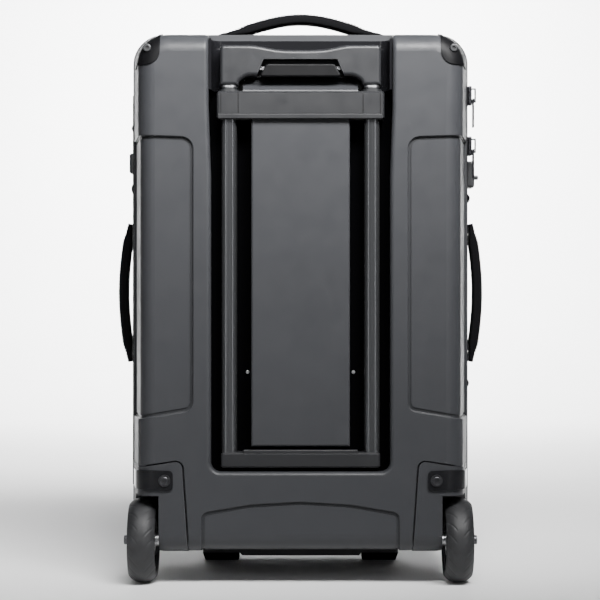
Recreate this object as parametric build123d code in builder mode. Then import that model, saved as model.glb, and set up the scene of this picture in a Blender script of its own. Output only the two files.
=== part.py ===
"""Two-wheeled hard-back trolley bag: a moulded rear shell and a soft front half.

Frame: +Z up from the floor, -Y is the trolley side, +Y is the soft front.
Depths (d) are counted from the shell's flat rear face towards the front.
"""
from build123d import *
import os

os.makedirs("parts", exist_ok=True)

# ---- Driving dimensions, millimetres ----
REAR_FACE = -113.1            # Y of the shell's flat rear face
SHELL_DEPTH = 98.0
WALL = 4.2                    # moulded shell thickness
HALF_REAR, HALF_RIM = 158.0, 171.0      # half widths at depth 0 and at the rim
LOW_REAR, LOW_RIM = 34.2, 28.2
HIGH_REAR, HIGH_RIM = 539.0, 551.0
TOP_CORNER, LOW_CORNER, REAR_EDGE = 30.0, 28.0, 18.0

PANEL_STEP = 2.2              # depth of the sunk side panels
LOW_PANEL_STEP = 1.2          # depth of the sunk panel below the channel
GROOVE_INSET, GROOVE_WIDTH, GROOVE_DEPTH = 1.0, 2.2, 0.9   # groove at the foot of each panel's step
PANEL_INNER, PANEL_LOW, PANEL_HIGH = 105.0, 172.0, 439.0
PANEL_FAR = SHELL_DEPTH - 6.0

CHANNEL_HALF, CHANNEL_HALF_TOP = 87.6, 90.0
CHANNEL_LOW, CHANNEL_DEPTH = 111.9, 29.0
ISLAND_HALF, ISLAND_LOW, ISLAND_HIGH, ISLAND_DEPTH = 48.4, 136.3, 484.2, 5.0
RAMP_HALF, RAMP_HIGH, RAMP_CORNER = 56.4, 499.0, 9.0   # finger ramp above the island
CHANNEL_ROUND = 4.2

TUBE_X, TUBE_D = 70.0, 14.5   # tube centre lines
OUTER_TUBE = (15.2, 21.0)     # width, depth
MIDDLE_TUBE = (12.4, 18.2)
INNER_TUBE = (9.8, 15.6)
TUBE_WALL = 1.1
OUTER_SPAN = (119.0, 483.8)
MIDDLE_SPAN = (131.0, 484.0)
INNER_SPAN = (136.0, 500.0)

UPPER_BRACKET = (456.5, 483.8)
LOWER_BRACKET = (115.8, 130.5)
BRACKET_HALF = 82.0

GRIP_LOW, GRIP_HIGH, GRIP_HALF = 490.0, 529.7, 79.0
GRIP_NEAR, GRIP_FAR = 4.0, 25.5
GRIP_SPLIT = 517.7            # parting line between the grip's two mouldings

WHEEL_X, WHEEL_D, WHEEL_R, TYRE_WIDTH = 155.7, 30.0, 42.0, 27.4
HUB_HALF, SPOKES = 11.5, 6
RIM_R, BEARING_R, BEARING_WIDTH, AXLE_R = 31.0, 11.0, 7.0, 4.0
RUNNING_GAP = 0.05
HOUSING_INNER, HOUSING_TOP, HOUSING_DEPTH = 107.6, 122.6, 84.0
SEAM, SEAM_DEPTH = 1.7, 3.0   # open seam round a wheel housing on the rear face
WELL_INNER, WELL_R = 138.5, 46.5

GUARD_SCREW = (150.0, 526.5)  # X and Z of a corner guard's screw
SCREW_SEAT_R, SCREW_SHANK_R = 4.6, 1.6
GUARD_SCREW_NEAR, GUARD_SCREW_SEAT = 1.6, 4.2   # depths of its head and of the seat under it

TAPE_INSET, TAPE_WALL = 0.6, 1.6
COIL_DEPTH = 104.4
COVER_DEPTH, COVER_FRONT, COVER_WALL = 110.0, 226.0, 4.5
COVER_HALF, COVER_LOW, COVER_HIGH = 170.5, 29.2, 550.0
POCKET_FRONT = 234.5

HANDLE_D = 163.0              # depth of the side handles' centre line
HANDLE_REACH, HANDLE_THICK, HANDLE_BAND = 192.5, 10.5, 26.0
SIDE_HANDLE_Z = 287.0


# ---- Shared shapes ----
def at_depth(depth):
    """Plane across the bag at a depth: local x is X, local y is Z, normal is -Y."""
    return Plane.XZ.offset(-(REAR_FACE + depth))


def taper(rear, rim, depth):
    return rear + (rim - rear) * depth / SHELL_DEPTH


def rounded_outline(half, low, high, top_r, low_r):
    """Rounded upright rectangle, drawn in the sketch that is open."""
    with BuildSketch(mode=Mode.PRIVATE) as shape:
        with Locations((0, (low + high) / 2)):
            Rectangle(2 * half, high - low)
        fillet(shape.vertices().group_by(Axis.Y)[-1], top_r)
        fillet(shape.vertices().group_by(Axis.Y)[0], low_r)
    return shape.sketch


def pan(inset, end=SHELL_DEPTH):
    """The shell's drafted outer form, inset by a thickness (negative grows it)."""
    with BuildPart() as form:
        for depth in (inset, end):
            half = taper(HALF_REAR, HALF_RIM, depth) - inset
            low = taper(LOW_REAR, LOW_RIM, depth) + inset
            high = taper(HIGH_REAR, HIGH_RIM, depth) - inset
            with BuildSketch(at_depth(depth)):
                add(rounded_outline(half, low, high, TOP_CORNER - inset, LOW_CORNER - inset))
        loft()
        fillet(form.faces().sort_by(Axis.Y)[0].edges(), REAR_EDGE - inset)
    return form.part


def prism(points, near, far, radii=()):
    """Straight prism of an outline of (X, Z) points between two depths.

    radii lists (point index, radius) for the corners that are rounded.
    """
    with BuildPart() as form:
        with BuildSketch(at_depth(near)) as outline:
            with BuildLine():
                Polyline(*points, close=True)
            make_face()
            for index, radius in radii:
                corner = Vector(points[index][0], points[index][1])
                nearest = outline.vertices().sort_by_distance(corner)[0]
                fillet(nearest, radius)
        extrude(amount=-(far - near))
    return form.part


def ring(near, far, outset, wall):
    """Band that follows the shell's rim: outset from it, with a wall thickness."""
    with BuildPart() as band:
        with BuildSketch(at_depth(near)):
            add(rounded_outline(HALF_RIM + outset, LOW_RIM - outset, HIGH_RIM + outset,
                                TOP_CORNER + outset, LOW_CORNER + outset))
            inner = outset - wall
            add(rounded_outline(HALF_RIM + inner, LOW_RIM - inner, HIGH_RIM + inner,
                                TOP_CORNER + inner, LOW_CORNER + inner), mode=Mode.SUBTRACT)
        extrude(amount=-(far - near))
    return band.part


def block(x0, x1, d0, d1, z0, z1, round_edges=0.0):
    """Box between two X, two depths and two heights."""
    with BuildPart() as box:
        with Locations(((x0 + x1) / 2, REAR_FACE + (d0 + d1) / 2, (z0 + z1) / 2)):
            Box(abs(x1 - x0), d1 - d0, z1 - z0)
        if round_edges:
            fillet(box.edges(), round_edges)
    return box.part


def x_cylinder(x0, x1, depth, height, radius):
    """Cylinder along X."""
    with BuildPart() as rod:
        with BuildSketch(Plane.YZ.offset(min(x0, x1))):
            with Locations((REAR_FACE + depth, height)):
                Circle(radius)
        extrude(amount=abs(x1 - x0))
    return rod.part


def rear_disc(x, z, near, far, radius, hole=0.0):
    """Disc facing -Y, between two depths."""
    with BuildPart() as disc:
        with BuildSketch(at_depth(near)):
            with Locations((x, z)):
                Circle(radius)
                if hole:
                    Circle(hole, mode=Mode.SUBTRACT)
        extrude(amount=-(far - near))
    return disc.part


def save(part, name):
    part.label = name
    export_step(part, f"parts/{name}.step")


def mirrored(part):
    """The same piece on the other side of the bag."""
    return part.mirror(Plane.YZ)


# ---- Rear shell ----
def side_panel(side, inset, far):
    """Prism of a sunk side panel, its inner and upper and lower borders moved in."""
    points = [(side * (PANEL_INNER + inset), PANEL_HIGH - inset), (side * (PANEL_INNER + inset), PANEL_LOW + inset),
              (side * 190.0, PANEL_LOW - 14.0 + inset), (side * 190.0, PANEL_HIGH + 3.0 - inset)]
    return prism(points, -8.0, far, [(0, 12.0 - inset), (1, 9.0 - inset)])


def lower_panel(inset):
    """Prism of the sunk panel below the channel."""
    points = [(-97.0 + inset, 0.0), (-97.0 + inset, 72.0 - inset), (-50.0, 80.0 - inset), (0.0, 83.0 - inset),
              (50.0, 80.0 - inset), (97.0 - inset, 72.0 - inset), (97.0 - inset, 0.0)]
    corners = [(1, 8.0 - inset), (2, 80.0), (3, 80.0), (4, 80.0), (5, 8.0 - inset)]
    return prism(points, -8.0, 60.0, corners)


def channel_prism(grow, far):
    half_low, half_top = CHANNEL_HALF + grow, CHANNEL_HALF_TOP + grow
    points = [(-half_low, CHANNEL_LOW - grow), (half_low, CHANNEL_LOW - grow),
              (half_low, 400.0), (half_top, 470.0), (half_top, 600.0),
              (-half_top, 600.0), (-half_top, 470.0), (-half_low, 400.0)]
    return prism(points, -8.0, far, [(0, 9.0 + grow), (1, 9.0 + grow)])


def ramp(inset, far):
    """Slope that leads the fingers in behind the grip."""
    with BuildPart() as slope:
        with BuildSketch(Plane.YZ.offset(-(RAMP_HALF - inset))):
            with BuildLine():
                Polyline((REAR_FACE + ISLAND_DEPTH + 1.0 + inset, ISLAND_HIGH - 0.1),
                         (REAR_FACE + ISLAND_DEPTH + 1.4 + inset, ISLAND_HIGH + 1.4),
                         (REAR_FACE + CHANNEL_DEPTH - 2.2 + inset, RAMP_HIGH - 0.4),
                         (REAR_FACE + far, RAMP_HIGH + 0.4), (REAR_FACE + far, ISLAND_HIGH - 0.1), close=True)
            make_face()
        extrude(amount=2 * (RAMP_HALF - inset))
    half, high = RAMP_HALF - inset, RAMP_HIGH - inset
    outline = [(-half, ISLAND_HIGH - 0.1), (half, ISLAND_HIGH - 0.1), (half, high), (-half, high)]
    return slope.part & prism(outline, 0.0, far + 1.0, [(2, RAMP_CORNER), (3, RAMP_CORNER)])


def island(inset, far):
    """Raised centre of the trolley channel with the finger ramp on its top end."""
    middle = block(-(ISLAND_HALF - inset), ISLAND_HALF - inset, ISLAND_DEPTH + inset, far, ISLAND_LOW + inset,
                   ISLAND_HIGH)
    return middle + ramp(inset, far)


def wheel_corner(side, grow, far=HOUSING_DEPTH):
    """Room for one wheel housing in the shell's lower corner."""
    points = [(side * (HOUSING_INNER - grow), 0.0), (side * (HOUSING_INNER + 8.4 - grow), HOUSING_TOP + grow),
              (side * 190.0, HOUSING_TOP - 11.4 + grow), (side * 190.0, 0.0)]
    return prism(points, -8.0, far + grow, [(1, 6.5 + grow)])


def edges_on(part, test):
    return [edge for edge in part.edges() if edge.length > 3.0 and test(edge.center())]


outer_form = pan(0.0)
sunk_form = pan(PANEL_STEP)
left_panel = side_panel(-1, 0.0, PANEL_FAR)
right_panel = side_panel(1, 0.0, PANEL_FAR)
low_panel = lower_panel(0.0)

shell = outer_form - left_panel - right_panel - low_panel
shell = shell + (sunk_form & left_panel) + (sunk_form & right_panel)
shell = shell + (pan(LOW_PANEL_STEP) & low_panel)


def on_panel_border(point):
    depth = point.Y - REAR_FACE
    if depth > SHELL_DEPTH - 4.0 or abs(point.X) < PANEL_INNER - 2.0:
        return False
    inner_side = abs(point.X) < PANEL_INNER + 5.0 and PANEL_LOW - 3.0 < point.Z < PANEL_HIGH + 1.0
    upper_side = abs(point.Z - PANEL_HIGH - 1.5) < 3.5
    lower_side = PANEL_LOW - 15.0 < point.Z < PANEL_LOW + 1.0
    return inner_side or upper_side or lower_side


def on_low_panel_border(point):
    depth = point.Y - REAR_FACE
    return depth < LOW_PANEL_STEP + 0.1 and abs(point.X) < 98.0 and point.Z < 84.0


shell = shell.fillet(0.9, edges_on(shell, on_panel_border))
shell = shell.fillet(0.5, edges_on(shell, on_low_panel_border))

side_trench = sunk_form - pan(PANEL_STEP + GROOVE_DEPTH)
low_trench = pan(LOW_PANEL_STEP) - pan(LOW_PANEL_STEP + GROOVE_DEPTH)
for side in (-1, 1):
    groove = side_panel(side, GROOVE_INSET, PANEL_FAR - 2.0) \
        - side_panel(side, GROOVE_INSET + GROOVE_WIDTH, PANEL_FAR + 5.0)
    shell = shell - (groove & side_trench)
shell = shell - ((lower_panel(GROOVE_INSET) - lower_panel(GROOVE_INSET + GROOVE_WIDTH)) & low_trench)

with BuildPart() as rear_shell:
    add(shell)
    add(channel_prism(0.0, CHANNEL_DEPTH), mode=Mode.SUBTRACT)
    add(island(0.0, CHANNEL_DEPTH + 0.5) & outer_form)
    for corner_side in (-1, 1):
        add(wheel_corner(corner_side, 0.5), mode=Mode.SUBTRACT)
        add(wheel_corner(corner_side, SEAM, SEAM_DEPTH - SEAM), mode=Mode.SUBTRACT)
    channel_rim = [edge for edge in rear_shell.edges()
                   if abs(edge.center().Y - REAR_FACE) < 0.01 and edge.length > 8.0
                   and CHANNEL_HALF - 6.0 < abs(edge.center().X) < CHANNEL_HALF_TOP + 2.0
                   or abs(edge.center().Y - REAR_FACE) < 0.01
                   and abs(edge.center().Z - CHANNEL_LOW) < 0.5]
    fillet(channel_rim, CHANNEL_ROUND)
    island_rim = [edge for edge in rear_shell.edges()
                  if abs(edge.center().Y - REAR_FACE - ISLAND_DEPTH) < 0.01 and edge.center().Z < ISLAND_HIGH - 2.0]
    fillet(island_rim, 2.4)

inner_form = pan(WALL, SHELL_DEPTH + 1.0)
cavity = inner_form - channel_prism(3.0, CHANNEL_DEPTH + 3.0)
cavity = cavity + block(-(ISLAND_HALF - 3.2), ISLAND_HALF - 3.2, ISLAND_DEPTH + 3.2, CHANNEL_DEPTH + 6.0,
                        ISLAND_LOW + 3.2, ISLAND_HIGH - 6.0)
rear_shell_part = rear_shell.part - cavity
for corner_side in (-1, 1):
    rear_shell_part = rear_shell_part - wheel_corner(corner_side, 0.5)
for corner_side in (-1, 1):
    screw_x = corner_side * GUARD_SCREW[0]
    rear_shell_part = rear_shell_part - rear_disc(screw_x, GUARD_SCREW[1], -3.0, GUARD_SCREW_SEAT, SCREW_SEAT_R)
    rear_shell_part = rear_shell_part - rear_disc(screw_x, GUARD_SCREW[1], -3.0, 20.0, SCREW_SHANK_R)
save(Part() + [rear_shell_part], "rear_shell")

# ---- Rim, zipper tapes and fabric hinge ----
save(ring(SHELL_DEPTH - 3.4, SHELL_DEPTH, 1.8, 1.8 + 0.05) - outer_form, "rim_piping")
save(ring(SHELL_DEPTH, COIL_DEPTH, -TAPE_INSET, TAPE_WALL), "shell_zipper_tape")
save(ring(COIL_DEPTH, COIL_DEPTH + 1.8, 0.8, 2.4), "zipper_coil")
save(ring(COIL_DEPTH + 2.2, COVER_DEPTH, -TAPE_INSET, TAPE_WALL), "cover_zipper_tape")

save(block(-(HALF_RIM + 2.6), -(HALF_RIM + 1.3), SHELL_DEPTH + 0.4, COIL_DEPTH + 0.4, 90.0, 490.0),
     "fabric_hinge")

# ---- Corner guards ----
GUARD_PROUD, GUARD_SINK, GUARD_BORDER = 1.4, 0.6, 2.4


def guard_outline(inset):
    """Prism of a corner guard's outline, its two inner borders moved in."""
    points = [(137.4 + inset, 580.0), (137.4 + inset, 510.6 + inset), (190.0, 509.6 + inset), (190.0, 580.0)]
    return prism(points, -8.0, 46.0, [(1, 13.0)])


guard_sheet = pan(-GUARD_PROUD, 60.0) - outer_form
guard_right = guard_sheet & guard_outline(0.0)
guard_right = guard_right - ((guard_sheet - pan(GUARD_SINK - GUARD_PROUD, 62.0)) & guard_outline(GUARD_BORDER))


def socket_screw(x, z, near, head, length, shank, socket):
    """Screw along +Y with a domed head and a hexagonal socket."""
    with BuildPart() as screw:
        with BuildSketch(at_depth(near)):
            with Locations((x, z)):
                Circle(head)
        extrude(amount=-2.6)
        fillet(screw.edges().group_by(Axis.Y)[0], 1.0)
        with BuildSketch(at_depth(near + 2.6)):
            with Locations((x, z)):
                Circle(shank)
        extrude(amount=-length)
        with BuildSketch(at_depth(near)):
            with Locations((x, z)):
                RegularPolygon(socket, 6)
        extrude(amount=-1.6, mode=Mode.SUBTRACT)
    return screw.part


guard_seat = rear_disc(GUARD_SCREW[0], GUARD_SCREW[1], -3.0, GUARD_SCREW_SEAT, SCREW_SEAT_R)
guard_screw = socket_screw(GUARD_SCREW[0], GUARD_SCREW[1], GUARD_SCREW_NEAR, 4.0, 5.0, SCREW_SHANK_R - 0.05, 1.9)
guard_hole = rear_disc(GUARD_SCREW[0], GUARD_SCREW[1], -3.0, 12.0, SCREW_SHANK_R)
save(Part() + [guard_right - guard_seat - guard_hole], "corner_guard_right")
save(Part() + [mirrored(guard_right - guard_seat - guard_hole)], "corner_guard_left")
save(Compound(children=[guard_screw, mirrored(guard_screw)]), "guard_screws")

# ---- Wheel housings, clips and bolts ----
HOUSING_PROUD, HOUSING_WALL = 0.5, 3.2
AXLE_END = 122.0              # inner end of the axle, inside its boss
BOLT = (132.7, 103.6)
wheel_well = x_cylinder(WELL_INNER, 200.0, WHEEL_D, WHEEL_R, WELL_R)
well_skin = x_cylinder(WELL_INNER - HOUSING_WALL, 200.0, WHEEL_D, WHEEL_R, WELL_R + HOUSING_WALL)
axle_hole = x_cylinder(120.0, 150.0, WHEEL_D, WHEEL_R, AXLE_R)
housing_form = pan(-HOUSING_PROUD) & wheel_corner(1, 0.0)
housing_form = housing_form & block(0, 200, -8.0, HOUSING_DEPTH, 30.0, 200.0)
housing_void = pan(HOUSING_WALL, SHELL_DEPTH + 5.0) & wheel_corner(1, -HOUSING_WALL)
housing_void = housing_void - well_skin
open_throat = block(WELL_INNER, 200.0, -20.0, WHEEL_D + WELL_R, -5.0, WHEEL_R)
below_arch = block(WELL_INNER, 200.0, -20.0, WHEEL_D, -5.0, WHEEL_R + WELL_R)
rear_mouth = x_cylinder(WELL_INNER, 200.0, WHEEL_D - 8.0, WHEEL_R, WELL_R)
housing_right = housing_form - wheel_well - open_throat - rear_mouth
housing_right = housing_right - below_arch
housing_right = housing_right - (housing_void - block(WELL_INNER - HOUSING_WALL, 200.0, -20.0,
                                                      WHEEL_D + WELL_R + HOUSING_WALL, -5.0,
                                                      WHEEL_R + WELL_R + HOUSING_WALL))
axle_boss = x_cylinder(AXLE_END - 5.5, WELL_INNER, WHEEL_D, WHEEL_R, 10.0)
housing_right = housing_right + axle_boss - axle_hole
bolt_hole = rear_disc(BOLT[0], BOLT[1], -8.0, 14.0, 2.0)
housing_right = housing_right - bolt_hole
save(Part() + [housing_right], "wheel_housing_right")
save(Part() + [mirrored(housing_right)], "wheel_housing_left")

CLIP_PROUD = 2.6
clip_points = [(124.6, 94.0), (124.6, 113.0), (147.0, 114.0), (190.0, 110.5), (190.0, 97.0), (147.0, 94.0)]
clip_right = (pan(-CLIP_PROUD, 60.0) - pan(-HOUSING_PROUD, 62.0)) & prism(clip_points, -8.0, 42.0,
                                                                       [(0, 4.0), (1, 4.0)])
clip_right = clip_right - bolt_hole
save(Part() + [clip_right], "wheel_clip_right")
save(Part() + [mirrored(clip_right)], "wheel_clip_left")

bolt_ring = rear_disc(BOLT[0], BOLT[1], -CLIP_PROUD - 1.2, -CLIP_PROUD, 5.9, 2.1)
bolt = socket_screw(BOLT[0], BOLT[1], -CLIP_PROUD - 3.8, 4.2, 12.0, 1.95, 2.1)
save(Compound(children=[bolt_ring, mirrored(bolt_ring), bolt, mirrored(bolt)]), "housing_bolts")

# ---- Wheels ----
def revolved_about_axle(points):
    """Ring turned about the wheel's axle line from (X, radius) points."""
    axle = Axis((0, REAR_FACE + WHEEL_D, WHEEL_R), (1, 0, 0))
    with BuildPart() as turned:
        with BuildSketch(Plane.XY.offset(WHEEL_R)):
            with BuildLine():
                Polyline(*[(x, REAR_FACE + WHEEL_D + r) for x, r in points], close=True)
            make_face()
        revolve(axis=axle)
    return turned.part


def about_wheel(points):
    """Ring from (offset from the wheel's middle, radius) points."""
    return revolved_about_axle([(WHEEL_X + offset, radius) for offset, radius in points])


half_tyre = TYRE_WIDTH / 2
tyre = about_wheel([
    (1.5 - half_tyre, RIM_R), (-half_tyre, RIM_R + 3.5), (0.8 - half_tyre, WHEEL_R - 4.0),
    (4.0 - half_tyre, WHEEL_R - 1.2), (-4.0, WHEEL_R), (4.0, WHEEL_R), (half_tyre - 4.0, WHEEL_R - 1.2),
    (half_tyre - 0.8, WHEEL_R - 4.0), (half_tyre, RIM_R + 3.5), (half_tyre - 1.5, RIM_R)])
hub = about_wheel([
    (-HUB_HALF, BEARING_R), (-HUB_HALF, BEARING_R + 4.5), (-3.5, BEARING_R + 6.0), (-3.5, RIM_R - 4.0),
    (-HUB_HALF, RIM_R - 2.5), (-HUB_HALF, RIM_R), (HUB_HALF, RIM_R), (HUB_HALF, RIM_R - 2.5),
    (3.5, RIM_R - 4.0), (3.5, BEARING_R + 6.0), (HUB_HALF, BEARING_R + 4.5), (HUB_HALF, BEARING_R)])
with BuildPart() as windows:
    with BuildSketch(Plane.YZ.offset(WHEEL_X - 6.0)):
        with Locations((REAR_FACE + WHEEL_D, WHEEL_R)):
            with PolarLocations(21.9, SPOKES):
                SlotOverall(11.0, 6.4, rotation=90)
    extrude(amount=12.0)
hub = hub - windows.part
bearing_gap = HUB_HALF - BEARING_WIDTH      # half the space between the two bearings
spacer_core = about_wheel([(-bearing_gap, AXLE_R + 0.1), (-bearing_gap, 6.5), (bearing_gap, 6.5),
                           (bearing_gap, AXLE_R + 0.1)])


def bearing(start):
    end = start + BEARING_WIDTH
    return about_wheel([(start, AXLE_R + RUNNING_GAP), (start, BEARING_R), (end, BEARING_R),
                        (end, AXLE_R + RUNNING_GAP)])


bearings = [bearing(-HUB_HALF), bearing(bearing_gap), spacer_core]
hub_face = WHEEL_X + HUB_HALF
axle_shaft = x_cylinder(AXLE_END, hub_face + 0.4, WHEEL_D, WHEEL_R, AXLE_R)
axle_cap = x_cylinder(hub_face + 0.4, hub_face + 4.8, WHEEL_D, WHEEL_R, 8.4)
axle_cap = axle_cap.fillet(2.2, axle_cap.edges().sort_by(Axis.X)[-1:])
axle_head = x_cylinder(hub_face + 4.8, hub_face + 7.8, WHEEL_D, WHEEL_R, 4.6)
axle_head = axle_head.fillet(0.9, axle_head.edges().sort_by(Axis.X)[-1:])
axle_socket = x_cylinder(hub_face + 6.0, hub_face + 9.0, WHEEL_D, WHEEL_R, 2.3)
axle_right = axle_shaft + axle_cap + axle_head - axle_socket
wheel_spacer = x_cylinder(WELL_INNER, WHEEL_X - HUB_HALF - 0.3, WHEEL_D, WHEEL_R, 6.2) \
    - x_cylinder(100.0, 190.0, WHEEL_D, WHEEL_R, AXLE_R + 0.02)
save(tyre, "tyre_right")
save(mirrored(tyre), "tyre_left")
save(Part() + [hub], "hub_right")
save(Part() + [mirrored(hub)], "hub_left")
save(Compound(children=bearings), "bearings_right")
save(Compound(children=[mirrored(piece) for piece in bearings]), "bearings_left")
save(axle_right, "axle_right")
save(mirrored(axle_right), "axle_left")
save(Compound(children=[wheel_spacer, mirrored(wheel_spacer)]), "axle_spacers")

# ---- Trolley: cup, brackets and tubes ----
CUP_LOW, CUP_HIGH, CUP_WALL, CUP_NEAR, CUP_FAR = 486.0, 536.0, 2.2, 5.0, 28.8


def tube_bar(side, size, span, grow=0.0):
    """Solid rounded bar with a tube's outer section, between two heights."""
    width, thick = size[0] + 2 * grow, size[1] + 2 * grow
    with BuildPart() as bar:
        with BuildSketch(Plane.XY.offset(span[0])):
            with Locations((side * TUBE_X, REAR_FACE + TUBE_D)):
                RectangleRounded(width, thick, min(width, thick) * 0.36)
        extrude(amount=span[1] - span[0])
    return bar.part


def tube(side, size, span):
    return tube_bar(side, size, span) - tube_bar(side, size, span, -TUBE_WALL)


cup_half = CHANNEL_HALF_TOP - 0.4
cup_points = [(-cup_half, CUP_LOW), (cup_half, CUP_LOW), (cup_half, CUP_HIGH), (-cup_half, CUP_HIGH)]
cup_inner = cup_half - CUP_WALL
cup_room_points = [(-cup_inner, CUP_LOW - 1.0), (cup_inner, CUP_LOW - 1.0), (cup_inner, 600.0),
                   (-cup_inner, 600.0)]
with BuildPart() as cup_room:
    add(prism(cup_room_points, -12.0, CUP_FAR - CUP_WALL))
    deep_edges = cup_room.edges().filter_by(Axis.Z).group_by(Axis.Y)[-1]
    fillet(deep_edges, 11.0)
cup = (prism(cup_points, CUP_NEAR, CUP_FAR) & outer_form) - cup_room.part
cup = cup - island(-0.4, CHANNEL_DEPTH + 0.5)
save(Part() + [cup], "handle_cup")


def bracket(span, half, near, far, chamfer_size):
    """Block across the channel that holds both outer tubes."""
    body = block(-half, half, near, far, span[0], span[1])
    body = body.fillet(3.0, body.edges().filter_by(Axis.Z))
    front_edges = [edge for edge in body.edges().filter_by(Axis.X)
                   if edge.center().Y < REAR_FACE + near + 0.1]
    body = body.chamfer(chamfer_size, None, front_edges)
    return body


upper_bracket = bracket(UPPER_BRACKET, BRACKET_HALF, 0.2, 27.0, 1.8)
lip = block(-BRACKET_HALF + 1.5, BRACKET_HALF - 1.5, -0.7, 3.0, UPPER_BRACKET[0] + 0.6,
            UPPER_BRACKET[0] + 5.0, 0.6)
island_room = block(-ISLAND_HALF - 0.6, ISLAND_HALF + 0.6, ISLAND_DEPTH - 0.2, 40.0, 400.0, 520.0)
upper_bracket = upper_bracket + lip - island_room
lower_bracket = bracket(LOWER_BRACKET, BRACKET_HALF - 4.0, 1.6, 27.5, 1.6)
lower_bracket = lower_bracket + block(-56.0, 56.0, 2.4, 12.0, LOWER_BRACKET[1] - 1.0,
                                      LOWER_BRACKET[1] + 2.6, 0.8)
for side in (-1, 1):
    for groove_x in (TUBE_X - 9.0, TUBE_X + 8.0):
        upper_bracket = upper_bracket - block(side * groove_x - 0.6, side * groove_x + 0.6, -5.0, 1.1,
                                              UPPER_BRACKET[0] + 5.6, UPPER_BRACKET[1] + 1.0)
    upper_bracket = upper_bracket - tube_bar(side, OUTER_TUBE, (OUTER_SPAN[0], 600.0))
    lower_bracket = lower_bracket - tube_bar(side, OUTER_TUBE, (OUTER_SPAN[0], 600.0))
save(Part() + [upper_bracket], "upper_bracket")
save(Part() + [lower_bracket], "lower_bracket")

for name, side in (("left", -1), ("right", 1)):
    save(tube(side, OUTER_TUBE, OUTER_SPAN), f"outer_tube_{name}")
    save(tube(side, MIDDLE_TUBE, MIDDLE_SPAN), f"middle_tube_{name}")
    save(tube(side, INNER_TUBE, INNER_SPAN), f"inner_tube_{name}")

# Rivet heads on the channel floor beside the island.
RIVET_X, RIVET_Z, RIVET_R = 52.4, 208.3, 1.9
rivets = []
for side in (-1, 1):
    with BuildPart() as rivet:
        with BuildSketch(at_depth(CHANNEL_DEPTH - 1.4)):
            with Locations((side * RIVET_X, RIVET_Z)):
                Circle(RIVET_R)
        extrude(amount=-1.4)
        fillet(rivet.edges().group_by(Axis.Y)[0], 0.7)
    rivets.append(rivet.part)
save(Compound(children=rivets), "island_rivets")


# ---- Guide bushes and collars ----
def collar(side, outer, inner_size, span, clear):
    return tube_bar(side, outer, span) - tube_bar(side, inner_size, span, clear)


guide_bushes = [collar(side, (19.6, 24.2), MIDDLE_TUBE, (UPPER_BRACKET[1], UPPER_BRACKET[1] + 2.0), 0.15)
                for side in (-1, 1)]
save(Compound(children=guide_bushes), "guide_bushes")
stage_collars = [collar(side, (14.2, 19.8), INNER_TUBE, (UPPER_BRACKET[1] + 2.2, UPPER_BRACKET[1] + 4.0), 0.15)
                 + collar(side, MIDDLE_TUBE, INNER_TUBE, (MIDDLE_SPAN[1], UPPER_BRACKET[1] + 2.4), 0.15)
                 for side in (-1, 1)]
save(Compound(children=stage_collars), "stage_collars")
grip_collars = [collar(side, (15.0, 20.4), INNER_TUBE, (488.0, GRIP_LOW), 0.02) for side in (-1, 1)]
save(Compound(children=grip_collars), "grip_collars")


# ---- Grip ----
def grip_section(grow):
    """Front outline of the grip: a bar with two short legs and a scooped top."""
    half = GRIP_HALF - grow
    with BuildSketch(at_depth(GRIP_NEAR), mode=Mode.PRIVATE) as outline:
        with BuildLine():
            Polyline((-half, GRIP_LOW), (-half, GRIP_HIGH), (-52.0, GRIP_HIGH))
            Spline((-52.0, GRIP_HIGH), (-26.0, GRIP_HIGH - 3.8), (0.0, GRIP_HIGH - 5.0), (26.0, GRIP_HIGH - 3.8),
                   (52.0, GRIP_HIGH), tangents=((1, 0), (1, 0)))
            Polyline((52.0, GRIP_HIGH), (half, GRIP_HIGH), (half, GRIP_LOW), (61.0, GRIP_LOW))
            Spline((61.0, GRIP_LOW), (57.5, GRIP_LOW + 6.0), (48.0, GRIP_LOW + 9.4),
                   tangents=((0, 1), (-1, 0)))
            Line((48.0, GRIP_LOW + 9.4), (-48.0, GRIP_LOW + 9.4))
            Spline((-48.0, GRIP_LOW + 9.4), (-57.5, GRIP_LOW + 6.0), (-61.0, GRIP_LOW),
                   tangents=((-1, 0), (0, -1)))
            Line((-61.0, GRIP_LOW), (-half, GRIP_LOW))
        make_face()
    return outline.sketch


with BuildPart() as grip:
    with BuildSketch(at_depth(GRIP_NEAR)):
        add(grip_section(0.0))
    extrude(amount=-(GRIP_FAR - GRIP_NEAR))
    corners = [edge for edge in grip.edges().filter_by(Axis.Y)
               if abs(edge.center().X) > GRIP_HALF - 1.0 and edge.center().Z > GRIP_HIGH - 1.0]
    fillet(corners, 4.5)
    faces = grip.faces().filter_by(Axis.Y)
    fillet(faces.sort_by(Axis.Y)[0].edges(), 3.6)
    fillet(grip.faces().filter_by(Axis.Y).sort_by(Axis.Y)[-1].edges(), 3.0)

RELEASE_TRAVEL = 4.0
release_points = [(-40.4, 498.4), (-33.4, 511.0), (33.4, 511.0), (40.4, 498.4)]
release_bar = prism(release_points, GRIP_NEAR - 0.4, 20.0, [(0, 2.0), (1, 4.0), (2, 4.0), (3, 2.0)])
release_bar = release_bar.fillet(1.6, release_bar.faces().sort_by(Axis.Y)[0].edges())
release_room_points = [(-44.0, 490.0), (-43.4, 498.4), (-36.0, 511.6 + RELEASE_TRAVEL),
                       (36.0, 511.6 + RELEASE_TRAVEL), (43.4, 498.4), (44.0, 490.0)]
release_room = prism(release_room_points, -5.0, 20.6)
rod_channel = block(-TUBE_X - 3.0, TUBE_X + 3.0, TUBE_D - 2.6, TUBE_D + 2.6, 505.5, 511.4 + RELEASE_TRAVEL)
tube_sockets = tube_bar(-1, INNER_TUBE, (480.0, INNER_SPAN[1]), 0.02) \
    + tube_bar(1, INNER_TUBE, (480.0, INNER_SPAN[1]), 0.02)
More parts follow.
